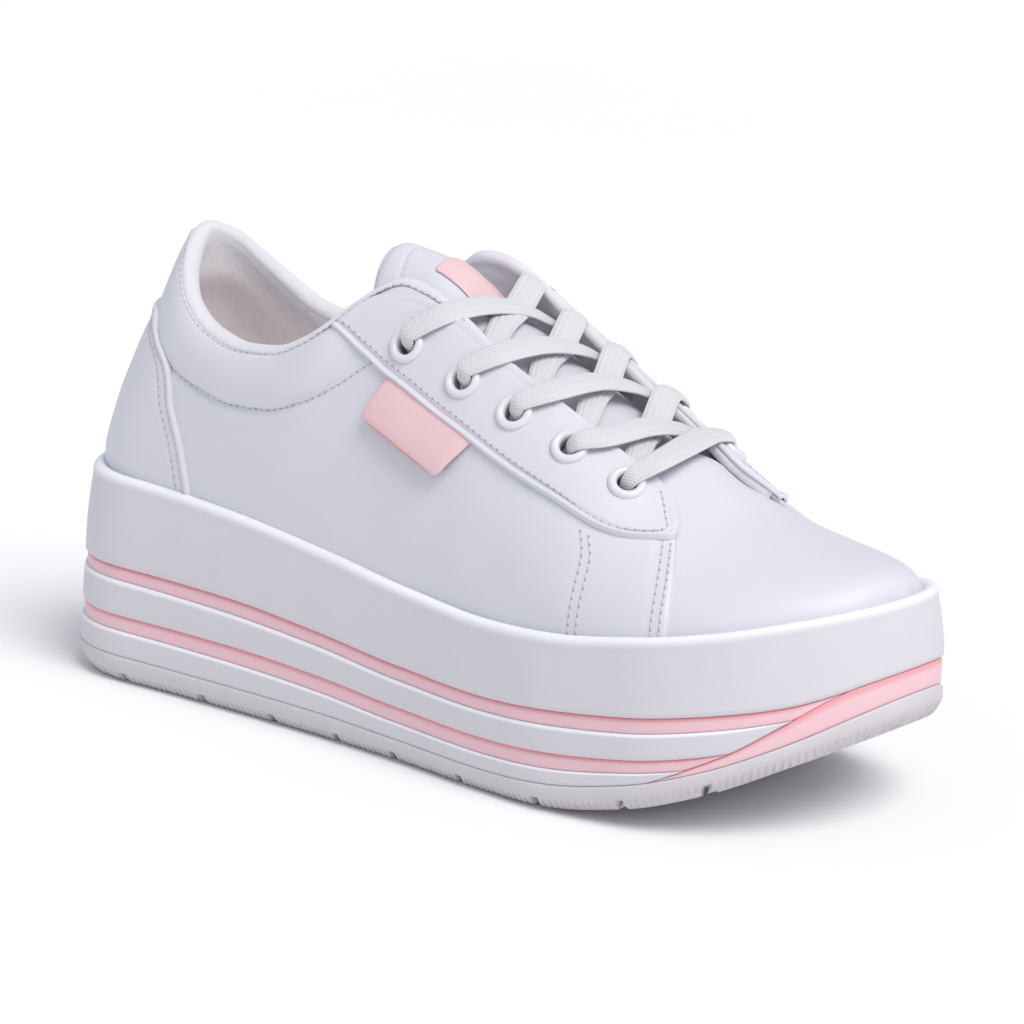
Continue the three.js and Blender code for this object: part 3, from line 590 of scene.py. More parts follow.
class Net:
    """A material's nodes while they are put together."""

    def __init__(self, name: str) -> None:
        """Starts a material with one plain shader."""
        self.material = bpy.data.materials.new(name)
        self.material.use_nodes = True
        self.tree = self.material.node_tree
        self.shader = self.tree.nodes["Principled BSDF"]
        self.place = self.add("ShaderNodeTexCoord")

    def add(self, kind: str, settings: dict | None = None, **values: object) -> bpy.types.Node:
        """Adds a node.

        Args:
            kind: The node's type.
            settings: Its options.
            **values: Numbers or sockets for its inputs, spaces written as underscores.

        Returns:
            The node.
        """
        made = self.tree.nodes.new(kind)
        for key, value in (settings or {}).items():
            setattr(made, key, value)
        for key, value in values.items():
            self.feed(made.inputs[key.replace("_", " ")], value)
        return made

    def feed(self, socket: Socket, value: object) -> None:
        """Links a socket or sets a number."""
        if isinstance(value, Socket):
            self.tree.links.new(value, socket)
        else:
            socket.default_value = value

    def noise(self, size_mm: float, detail: float = 3.0, where: str = "Object") -> Socket:
        """Noise whose blotches are about the given size."""
        node = self.add(
            "ShaderNodeTexNoise", Vector=self.place.outputs[where], Scale=1000.0 / size_mm, Detail=detail
        )
        return node.outputs["Fac"]

    def cells(self, size_mm: float) -> Socket:
        """Small rounded cells, as in leather grain."""
        node = self.add(
            "ShaderNodeTexVoronoi",
            {"feature": "SMOOTH_F1"},
            Vector=self.place.outputs["Object"],
            Scale=1000.0 / size_mm,
        )
        return node.outputs["Distance"]

    def waves(self, pitch_mm: float, turn: float, distort: float = 0.0) -> Socket:
        """Bands across the piece's own along-across map, turned by an angle in radians."""
        turned = self.add("ShaderNodeMapping", Vector=self.place.outputs["UV"], Rotation=(0, 0, turn))
        node = self.add(
            "ShaderNodeTexWave",
            Vector=turned.outputs[0],
            Scale=0.314 / pitch_mm,
            Distortion=distort,
            Detail=1.0,
        )
        return node.outputs["Fac"]

    def between(self, fac: object, low: object, high: object) -> Socket:
        """A colour between two plain colours or sockets, by a factor."""
        mix = self.add("ShaderNodeMix", {"data_type": "RGBA"})
        self.feed(mix.inputs[0], fac)
        for place, colour in ((6, low), (7, high)):
            self.feed(mix.inputs[place], (*colour, 1.0) if isinstance(colour, tuple) else colour)
        return mix.outputs[2]

    def climb(self, low: float, high: float) -> Socket:
        """Goes from 0 to 1 between two distances across the piece's own map."""
        split = self.add("ShaderNodeSeparateXYZ", Vector=self.place.outputs["UV"])
        eased = {"interpolation_type": "SMOOTHSTEP"}
        node = self.add("ShaderNodeMapRange", eased, Value=split.outputs["Y"], From_Min=low, From_Max=high)
        return node.outputs[0]

    def ranged(self, value: object, low: float, high: float) -> Socket:
        """A factor stretched to a range."""
        return self.add("ShaderNodeMapRange", Value=value, To_Min=low, To_Max=high).outputs[0]

    def product(self, a: object, b: object) -> Socket:
        """Two factors multiplied."""
        node = self.add("ShaderNodeMath", {"operation": "MULTIPLY"})
        self.feed(node.inputs[0], a)
        self.feed(node.inputs[1], b)
        return node.outputs[0]

    def bumped(self, *layers: tuple[object, float, float]) -> None:
        """Stacks bumps of (height, strength, depth in mm) and feeds them to the shader."""
        below = None
        for height, strength, depth in layers:
            node = self.add("ShaderNodeBump", Height=height, Strength=strength, Distance=depth * MM)
            if below is not None:
                self.feed(node.inputs["Normal"], below)
            below = node.outputs[0]
        self.feed(self.shader.inputs["Normal"], below)

    def finish(self, colour: object, roughness: object, **values: float) -> bpy.types.Material:
        """Feeds the shader and gives the material back."""
        self.feed(self.shader.inputs["Base Color"], colour)
        self.feed(self.shader.inputs["Roughness"], roughness)
        for key, value in values.items():
            self.shader.inputs[key.replace("_", " ")].default_value = value
        return self.material


@dataclass(frozen=True)
class Leather:
    """Smooth coated leather with fine pores."""

    name: str
    pale: tuple[float, float, float]
    deep: tuple[float, float, float]
    grain: float = 0.75
    coat: float = 0.12

    def make(self) -> bpy.types.Material:
        """The leather as a material."""
        net = Net(self.name)
        colour = net.between(net.noise(22), self.deep, self.pale)
        rough = net.ranged(net.noise(6), 0.42, 0.56)
        swell, grain, pores = net.noise(16, 2), net.cells(self.grain), net.noise(0.35)
        net.bumped((swell, 0.25, 0.5), (grain, 0.22, 0.12), (pores, 0.18, 0.05))
        return net.finish(colour, rough, Coat_Weight=self.coat, Coat_Roughness=0.35, Specular_IOR_Level=0.42)


@dataclass(frozen=True)
class Foam:
    """Moulded sole foam with a fine skin, and another colour along its upper edge that is painted light: a
    highlight on white foam and rubber, shade with a deeper red on pink foam.
    """

    name: str
    pale: tuple[float, float, float]
    deep: tuple[float, float, float]
    # The colour painted along the upper edge: a painted highlight on white foam and rubber, painted shade
    # mixed with a deeper red on pink foam.
    rim: tuple[float, float, float]
    roughness: float = 0.5
    painted_edge_from: float = 0.84

    def make(self) -> bpy.types.Material:
        """The foam as a material."""
        net = Net(self.name)
        body = net.between(net.noise(9, 4), self.deep, self.pale)
        # Paints the edge colour over the top of the wall: painted light and shade where the layer meets the
        # one above.
        colour = net.between(net.climb(self.painted_edge_from, 0.96), body, self.rim)
        rough = net.ranged(net.noise(3), self.roughness - 0.06, self.roughness + 0.08)
        net.bumped((net.noise(12, 2), 0.2, 0.3), (net.noise(0.5, 2), 0.25, 0.06))
        return net.finish(colour, rough, Specular_IOR_Level=0.4)


@dataclass(frozen=True)
class Textile:
    """Woven or knitted cloth, in ribs along its own map."""

    name: str
    pale: tuple[float, float, float]
    deep: tuple[float, float, float]
    # The colour away from the edge: the lining's own pinker tone, made brighter as painted light where the
    # inside of the shoe lies in shade.
    inside: tuple[float, float, float]
    pitch: float = 0.8
    depth: float = 0.25

    def make(self) -> bpy.types.Material:
        """The cloth as a material, plush, and away from its edge lighter and pinker: the lining's own tone,
        brightened as painted light for the shaded inside.
        """
        net = Net(self.name)
        weave = net.product(net.waves(self.pitch, 0.0, 0.4), net.waves(self.pitch, math.pi / 2, 0.4))
        fuzz, tufts = net.noise(0.4, 4), net.noise(2.2, 4)
        shade = net.product(net.ranged(weave, 0.8, 1.0), net.ranged(fuzz, 0.8, 1.1))
        cloth = net.between(shade, self.deep, self.pale)
        # Away from the edge the cloth turns to the inside colour, partly its own pink and partly painted
        # light on the shaded inside.
        colour = net.between(net.climb(9.0, 22.0), cloth, self.inside)
        swell = net.noise(9, 2)
        net.bumped((swell, 0.25, 0.4), (tufts, 0.5, 0.5), (weave, 0.3, self.depth), (fuzz, 0.4, 0.12))
        return net.finish(colour, net.ranged(fuzz, 0.78, 0.95), Sheen_Weight=0.25, Sheen_Roughness=0.5)


@dataclass(frozen=True)
class Braid:
    """Flat braided lace: slanted yarns that meet along each rib."""

    name: str
    pale: tuple[float, float, float]
    deep: tuple[float, float, float]

    def make(self) -> bpy.types.Material:
        """The braid as a material."""
        net = Net(self.name)
        yarn = net.product(net.waves(0.8, 0.32, 0.6), net.waves(0.8, -0.32, 0.6))
        fuzz = net.noise(0.25, 4)
        shade = net.product(net.ranged(yarn, 0.35, 1.0), net.ranged(fuzz, 0.85, 1.1))
        net.bumped((yarn, 0.7, 0.22), (fuzz, 0.3, 0.06))
        colour = net.between(shade, self.deep, self.pale)
        return net.finish(colour, net.ranged(fuzz, 0.7, 0.9), Sheen_Weight=0.2)


@dataclass(frozen=True)
class Gloss:
    """Smooth lacquered plastic or metal."""

    name: str
    colour: tuple[float, float, float]
    roughness: float = 0.2

    def make(self) -> bpy.types.Material:
        """The lacquer as a material."""
        net = Net(self.name)
        tint = tuple(c * 0.94 for c in self.colour)
        net.bumped((net.noise(2.5, 2), 0.15, 0.08),)
        rough = net.ranged(net.noise(1.5), self.roughness, self.roughness + 0.12)
        colour = net.between(net.noise(4), tint, self.colour)
        return net.finish(colour, rough, Coat_Weight=0.4, Coat_Roughness=0.12)


FINISHES = {
    f.name: f
    for f in (
        Leather("white_leather", (0.685, 0.687, 0.748), (0.655, 0.657, 0.722)),
        Leather("pink_leather", (0.80, 0.58, 0.61), (0.74, 0.47, 0.51), grain=0.6, coat=0.2),
        Leather("coral_edge", (0.82, 0.27, 0.25), (0.74, 0.21, 0.20), grain=0.5),
        # Each foam's third colour is painted along its upper edge: a painted highlight on the white foam and
        # the rubber, and on the pink foam painted shade under the white layer above, mixed with a deeper
        # red.
        Foam("white_midsole", (0.66, 0.645, 0.685), (0.625, 0.61, 0.655), (0.86, 0.86, 0.91)),
        Foam("pink_midsole", (0.84, 0.56, 0.61), (0.80, 0.51, 0.56), (0.78, 0.33, 0.36), painted_edge_from=0.6),
        Foam("outsole_rubber", (0.64, 0.61, 0.64), (0.58, 0.55, 0.58), (0.68, 0.65, 0.68), roughness=0.55),
        # The binding turns to the lining's bright pink away from its edge: the lining's own tone, brightened
        # as painted light for the shaded inside of the shoe.
        Textile("lining_cloth", (0.97, 0.88, 0.89), (0.90, 0.81, 0.82), (0.97, 0.88, 0.89)),
        Textile("binding_cloth", (0.72, 0.71, 0.75), (0.64, 0.63, 0.68), (0.97, 0.92, 0.93), 0.7, 0.06),
        Braid("lace_braid", (0.74, 0.74, 0.76), (0.60, 0.60, 0.63)),
        Gloss("eyelet_lacquer", (0.74, 0.74, 0.78)),
        Gloss("seam_thread", (0.62, 0.61, 0.67), roughness=0.5),
        # Dark grains of painted shade, set where the needle holes hold shadow.
        Gloss("needle_hole", (0.40, 0.38, 0.45), roughness=0.7),
    )
}


def material(name: str) -> bpy.types.Material:
    """The finish of that name, made once."""
    return bpy.data.materials.get(name) or FINISHES[name].make()


def dress(piece: Piece, finish: str, slot: Slot, *nodes: str) -> Piece:
    """Gives a piece its finish and its body, and hides the nodes it stands for.

    Args:
        piece: The object.
        finish: The name of its finish.
        slot: The record's slot; not used.
        *nodes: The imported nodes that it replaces.

    Returns:
        The piece.
    """
    piece.data.materials.clear()
    piece.data.materials.append(material(finish))
    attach(piece, ROOT)
    if nodes:
        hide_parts(*nodes)
    log.info("%s: %d faces", piece.name, len(piece.data.polygons))
    return piece


# ---------------------------------------------------------------- the sole


@dataclass
class PlatformSole:
    """The outsole, the foam layers with their pink stripes, the toe wedge and the cup."""

    flare: float = 1.4
    heel_round: float = 34.0
    toe_round: float = 62.0
    inner_share: float = 0.97
    white_inset: float = 0.15
    stripe_inset: float = 0.9
    wedge_inset: float = 0.6
    gap: float = 0.05
    stations: int = 260
    tooth: float = 2.0
    notches: tuple[float, ...] = (31.7, 61.6, 87.8, 112.4, 134.1, 159.9, 187.6, 213.7, 236.2)
    rim_inset: float = 2.3
    # The wall of a foam layer as (share of its height, inset).
    bevel: tuple[tuple[float, float], ...] = (
        (0, 0.35), (0.04, 0.14), (0.12, 0.03), (0.3, 0), (0.5, 0), (0.7, 0),
        (0.88, 0.03), (0.96, 0.14), (1, 0.35),
    )
    # The cup's rolled lip and inner wall as (inset, height over the rim).
    lip: tuple[tuple[float, float], ...] = (
        (0.08, -2.9), (0.04, -2.2), (0.10, -1.6), (0.28, -1.0), (0.62, -0.5), (1.15, -0.14),
        (1.8, 0.0), (2.7, -0.1), (3.5, -0.5), (4.3, -1.6), (4.9, -4.5),
    )
    # The outsole's lower wall: inset, how far a tooth and a notch cut in, height over the ground,
    # and how far the heel, a notch and a tooth lift it.
    tread_rows: tuple[tuple[float, ...], ...] = (
        (9.0, 0, 0, 0, 0, 2.2, 0),
        (6.5, 0, 0, 0.1, 0, 2.2, 0),
        (3.2, 0, 0, 0, 0.25, 2.2, 0),
        (2.2, 0.7, 3.6, 0.3, 0, 2.2, 0.95),
        (1.2, 0.7, 4.2, 1.3, 1, 1.8, 0),
        (0.55, 0.75, 3.8, 2.3, 1, 0.8, 0),
        (0.35, 0, 0, 3.0, 1, 0, 0),
        (0.0, 0, 0, 3.8, 1, 0, 0),
    )

    def outline(self, side: float, x: Array) -> Array:
        """The outline's y at x on one side."""
        share = 1.0 if side < 0 else self.inner_share
        ends = end_rounding(x, SOLE_LENGTH, self.heel_round, self.toe_round)
        return swing(x) + side * SOLE["half"](x) * share * ends

    def places(self, first: float, last: float, count: int) -> Array:
        """Stations that are evenly spaced along the outline."""
        x = (0.5 - 0.5 * np.cos(np.linspace(0, math.pi, 6000))) * SOLE_LENGTH
        x = x[(x >= first - 1e-9) & (x <= last + 1e-9)]
        x = np.concatenate(([first], x, [last]))
        line = np.stack([x, self.outline(-1, x)], -1)
        return resampled(line, count)[:, 0]

    def edge(self, side: float, x: Array, inset: Array) -> Array:
        """The outline moved inwards, as x and y."""
        step = np.clip(np.minimum(x, SOLE_LENGTH - x) / 2, 1e-5, 0.2)
        ahead, behind = np.clip(x + step, 0, SOLE_LENGTH), np.clip(x - step, 0, SOLE_LENGTH)
        along = unit(np.stack([ahead - behind, self.outline(side, ahead) - self.outline(side, behind)], -1))
        along[x <= 1e-6] = (0, side)
        along[x >= SOLE_LENGTH - 1e-6] = (0, -side)
        y = self.outline(side, x)
        return np.stack([x + side * along[:, 1] * inset, y - side * along[:, 0] * inset], -1)

    def wall(self, side: float, x: Array, inset: Array | float, height: Callable) -> Array:
        """One row of a layer's side wall."""
        rise = height(x)
        spread = self.flare * smooth((150 - x) / 150) * np.clip(1.4 - rise / 24, 0, 1)
        plan = self.edge(side, x, inset - spread)
        return np.column_stack([plan, height(np.clip(plan[:, 0], -3, SOLE_LENGTH + 3))])

    def layer(self, name: str, rows: list, x: Array, climb: Sequence[float]) -> Piece:
        """A closed layer from rows of (inset, height) that go up its wall.

        Args:
            name: The piece's name.
            rows: Inset and height of each row, from the bottom up.
            x: The stations.
            climb: How far up the wall each row is, for the finish's shades.

        Returns:
            The closed layer.
        """
        outer = [self.wall(-1, x, inset, height) for inset, height in rows]
        inner = [self.wall(1, x, inset, height) for inset, height in reversed(rows)]
        return loft(name, np.stack([*outer, *inner], 1), np.concatenate([climb, climb[::-1]]))

    def foam(self, name: str, low: Callable, high: Callable, inset: float, x: Array) -> None:
        """A foam layer with rounded edges between two joints.

        Args:
            name: The node it stands for.
            low: The joint under it.
            high: The joint over it.
            inset: How far it lies inside the outline.
            x: The stations.
        """
        rows = []
        for share, pull in self.bevel:
            climb = lambda at, t=share: low(at) + self.gap + (high(at) - low(at) - 2 * self.gap) * t
            rows.append((inset + pull, climb))
        # The bevel's shares place the painted highlight and painted shade along the top of each layer.
        made = self.layer(f"{name}_foam", rows, x, [share for share, _ in self.bevel])
        if name.startswith("midsole"):
            dress(made, "white_midsole", Slot.WHITE_FOAM, name)
        else:
            dress(made, "pink_midsole", Slot.PINK_FOAM, name)

    def crossing(self, upper: Callable) -> float:
        """Where the toe wedge climbs over a joint."""
        x = np.linspace(214, 269.5, 1200)
        covered = np.nonzero(WEDGE_TOP(x) >= upper(x) - 0.08)[0]
        return float(x[covered[0]]) if len(covered) else 269.5

    def foam_layers(self) -> None:
        """The white and pink layers between the outsole and the cup."""
        joints = ("tread", "base", "lower", "middle", "band")
        names = ("midsole_base", "stripe_lower", "midsole_middle", "stripe_upper")
        for name, low, high in zip(names, joints, joints[1:]):
            under, over = SOLE[low], SOLE[high]
            low_edge = lambda x, a=under: np.maximum(a(x), wedge_top(x))
            high_edge = lambda x, a=under, b=over: np.maximum(b(x), low_edge(x, a) + 0.02)
            inset = self.stripe_inset if name.startswith("stripe") else self.white_inset
            self.foam(name, low_edge, high_edge, inset, self.places(0, self.crossing(over), self.stations))

    def toe_wedge(self) -> None:
        """The pink wedge that climbs to the toe."""
        tread = SOLE["tread"]
        x = np.linspace(214, 240, 1200)
        start = float(x[np.nonzero(WEDGE_TOP(x) > tread(x) + 0.05)[0][0]])
        top = lambda at: np.maximum(WEDGE_TOP(at), tread(at) + 0.1)
        self.foam("toe_wedge", tread, top, self.wedge_inset, self.places(start, SOLE_LENGTH, 150))

    def cup(self) -> None:
        """The tall band with its rounded lip and the footbed inside."""
        under = lambda x: np.maximum(SOLE["band"](x), wedge_top(x)) + self.gap
        rim, lean, foot_inset = SOLE["rim"], self.rim_inset, self.white_inset
        foot = ((0.9, 0.0), (0.45, 0.25), (foot_inset, 0.8))
        rows = [(inset, lambda x, b=height: under(x) + b) for inset, height in foot]
        for share in np.linspace(0.1, 0.93, 12):
            inset = foot_inset + (lean - foot_inset) * share**1.1 - 0.3 * math.sin(math.pi * share)
            rows.append((inset, lambda x, t=share: under(x) + (rim(x) - 3.2 - under(x)) * t))
        rows += [(lean + inset, lambda x, b=height: rim(x) + b) for inset, height in self.lip]
        rows.append((lean + 5.4, lambda x: footbed(x) - 0.2))
        # The lip and the cup's inner wall climb to 1, so they carry the white foam's painted highlight.
        climb = [0.0, 0.02, 0.05, *np.linspace(0.1, 0.8, 12), *np.linspace(0.86, 1.0, 7), *[1.0] * 5]
        made = self.layer("cup_foam", rows, self.places(0, SOLE_LENGTH, self.stations + 40), climb)
        dress(made, "white_midsole", Slot.WHITE_FOAM, "midsole_cup")

    def outsole(self) -> None:
        """The rubber with a toothed lower edge and notches."""
        x = self.places(0, SOLE_LENGTH, 760)
        run = travelled(np.stack([x, self.outline(-1, x)], -1))
        tooth = np.clip(np.abs(((run / self.tooth) % 1.0) * 2 - 1) * 2.2 - 0.6, 0, 1)
        notch = np.max([np.clip(2.1 - np.abs(x - at) * 2.0, 0, 1) for at in self.notches], axis=0)
        heel = smooth((30 - x) / 30)
        ground, tread = SOLE["ground"], SOLE["tread"]
        rows = []
        for inset, bite, slit, height, tilt, dip, step in self.tread_rows:
            rise = height + tilt * heel + dip * notch + step * tooth
            wall = lambda at, up=rise: ground(at) + np.interp(at, x, up)
            rows.append((inset + bite * tooth + slit * notch, wall))
        for inset, drop in ((0.0, 1.0), (0.2, 0.4), (0.7, self.gap)):
            rows.append((inset, lambda at, down=drop: tread(at) - down))
        # The top rows climb into the rubber's lighter edge colour, a painted highlight along its upper edge.
        climb = np.linspace(0, 1, len(rows))
        dress(self.layer("outsole_rubber_body", rows, x, climb), "outsole_rubber", Slot.RUBBER, "outsole")

    def insole(self) -> None:
        """A soft footbed cover that crowns up towards its edge."""

        def place(p: Array, q: Array, share: Array) -> Array:
            """A place in the footbed cover."""
            s = 133 + 128 * np.sin(p * math.pi / 2)
            side = np.where(q < 0, -1.0, 1.0)
            half = np.maximum(Last.breadth(side, np.clip(s, 0.2, 264.4)) - 3.0, 0.3)
            z = footbed(s) + 2.0 + 1.6 * share + 1.2 * np.abs(q) ** 3
            return np.stack([s, swing(s) + q * half, z], -1)

        dress(pillow("insole_pad", place, (120, 40)), "lining_cloth", Slot.LINING, "insole")

    def build(self) -> None:
        """Builds every layer."""
        self.outsole()
        self.foam_layers()
        self.toe_wedge()
        self.cup()
        self.insole()


# ---------------------------------------------------------------- the upper

COLLAR_LINE = Track(
    [(10, 128.3), (29, 128.3), (33, 125.4), (38, 118.0), (45, 110.9), (55, 104.9), (67, 102.5),
     (79, 103.5), (89, 107.8), (97, 113.8), (101, 117.4), (104, 120.0), (107, 122.4), (110, 124.4),
     (114, 126.4), (124, 129.5), (140, 131)]
)
THROAT_LINE = Track(
    [(90, 0.80), (112, 0.80), (119, 0.795), (124, 0.793), (128.6, 0.788), (137.7, 0.780),
     (145.4, 0.772), (151.8, 0.773), (162.9, 0.788), (168.4, 0.795), (177, 0.807), (185.5, 0.815),
     (192, 0.829), (198.5, 0.838), (206, 0.838)]
)
THROAT_FRONT = 198.5
THROAT_END = Track(
    [(THROAT_FRONT, 0.838), (200.2, 0.832), (203.6, 0.816), (206.2, 0.792), (208.3, 0.765),
     (210.5, 0.732)]
)
QUARTER_FRONT = Track(
    [(0, 222.6), (0.27, 221.9), (0.398, 220.8), (0.514, 218.7), (0.614, 215.7), (0.718, 211.3),
     (0.772, 208.1), (0.822, 203.6), (0.838, 198.5)]
)
PAD_LINE = Track(
    [(-10, 105.8), (18, 105.2), (26.4, 103.4), (31.4, 100.2), (37.4, 94.4), (43.5, 90.3),
     (54.3, 86.9), (66.5, 85.1), (78.9, 85.9), (92.2, 90.2), (103.0, 96.3), (110.8, 102.0), (120, 109)]
)
COUNTER_FRONT = Track(
    [(36, 53.6), (46, 53.2), (57, 52.2), (64, 50.6), (70.6, 48.7), (76.3, 46.3), (81, 44.4),
     (86, 43.4), (90, 42.2), (94.5, 39.0), (97.5, 35.6), (101, 32.6), (103.4, 31.0), (105.2, 28.0)]
)
COLLAR_WIDTH = Track(
    [(0, 4.6), (20, 5.2), (50, 6.4), (84, 6.4), (112, 4.6), (122, 3.8), (136, 2.8), (210, 2.6)]
)
SEAM_DROP = Track([(0, 2.5), (90, 2.5), (118, 2.6), (136, 1.4), (210, 1.3)])
FLAP_LIFT = Track(
    [(98, 0), (112, 4.4), (122, 6.2), (131, 5.6), (145, 3.6), (159, 2.8), (174, 1.9), (190, 2.2),
     (199, 2.5), (205, 2.1), (211, 1.1), (217, 0)]
)
TONGUE_SAG = Track(
    [(100, 0), (117, 0.4), (126, 2.4), (136, 5.6), (152, 5.2), (166, 2.9), (182, 1.4), (214, 1.0)]
)
EYESTAY_LOW = (
    (94.7, 0.568), (102.4, 0.568), (106.8, 0.564), (111.9, 0.560), (119.2, 0.552), (136.0, 0.544),
    (151.0, 0.544), (167.4, 0.548), (181.8, 0.556), (192.3, 0.562), (199.1, 0.583), (204.4, 0.618),
    (208.7, 0.653), (210.9, 0.672), (211.6, 0.698),
)
EYESTAY_HIGH = (
    (94.7, 0.568), (99.0, 0.614), (102.1, 0.649), (105.6, 0.683), (109.4, 0.708), (115.6, 0.734),
    (121.7, 0.750), (130.9, 0.760), (137.7, 0.766), (145.4, 0.762), (151.8, 0.765), (162.9, 0.780),
    (168.4, 0.787), (177.0, 0.800), (185.5, 0.810), (192.1, 0.826), (197.0, 0.836), (200.2, 0.834),
    (203.6, 0.820), (206.2, 0.797), (208.3, 0.770), (210.2, 0.738), (211.6, 0.698),
)
# Where the eyestay's stitches turn up at its front, and the quarters' row in their middle.
EYESTAY_SEAM_END = (
    (188.5, 0.583), (194.8, 0.590), (198.7, 0.608), (201.5, 0.627), (204.4, 0.651), (207.6, 0.682),
    (208.3, 0.702), (206.0, 0.735), (203.4, 0.768), (200.6, 0.797),
)
QUARTER_MIDDLE = ((192.0, 0.53), (194.6, 0.471), (195.4, 0.371), (195.5, 0.10))
EYELETS = ((123.0, 108.9), (142.6, 102.4), (159.6, 96.3), (177.0, 89.7), (193.6, 82.2))


def forward_share(a: Array) -> Array:
    """Spaces stations so that they go evenly round the heel."""
    b = np.abs(a)
    return b**2.3 * 1.12 / (b**1.3 + 0.12)


def collar_level() -> Track:
    """The upper's top edge as a level at each station, along the collar and down the throat."""
    s = np.linspace(0, 206, 207)
    levels = np.linspace(0.25, 1.0, 1501)
    points = Last.point(-1.0, s[:, None], levels[None, :])
    over = points[..., 2] - COLLAR_LINE(points[..., 0]) > 0
    first = np.where(over.any(1), over.argmax(1), len(levels) - 1)
    collar, throat, blend = levels[first], THROAT_LINE(s), 0.018
    level = -blend * np.log(np.exp(-collar / blend) + np.exp(-throat / blend))
    return Track(list(zip(s, level)))


LEVEL_STEP = 0.01  # a small difference in level, to measure slopes with


def seam_level(top: Track, s: Array) -> Array:
    """The level where the rolled lining is sewn to the leather."""
    step = np.linalg.norm(Last.point(-1.0, s, top(s)) - Last.point(-1.0, s, top(s) - LEVEL_STEP), axis=-1)
    return top(s) - SEAM_DROP(s) * LEVEL_STEP / np.maximum(step, LEVEL_STEP)


def flap_lift(side: Array, s: Array, level: Array) -> Array:
    """How far the inner flap stands up beside the tongue."""
    return np.where(np.asarray(side) > 0, FLAP_LIFT(s), 0.0) * smooth((level - 0.58) / 0.22)


def eyelet_seats(side: float, lifted: bool = True) -> list[tuple[Array, Array]]:
    """The middle and the outward direction of each eyelet in a row, on the last or on its flap."""
    s, level = Last.locate([e[0] for e in EYELETS], [e[1] for e in EYELETS])
    at, out = Last.skin(side, s, level)
    return list(zip(at + out * (flap_lift(side, s, level) * lifted)[:, None], out))


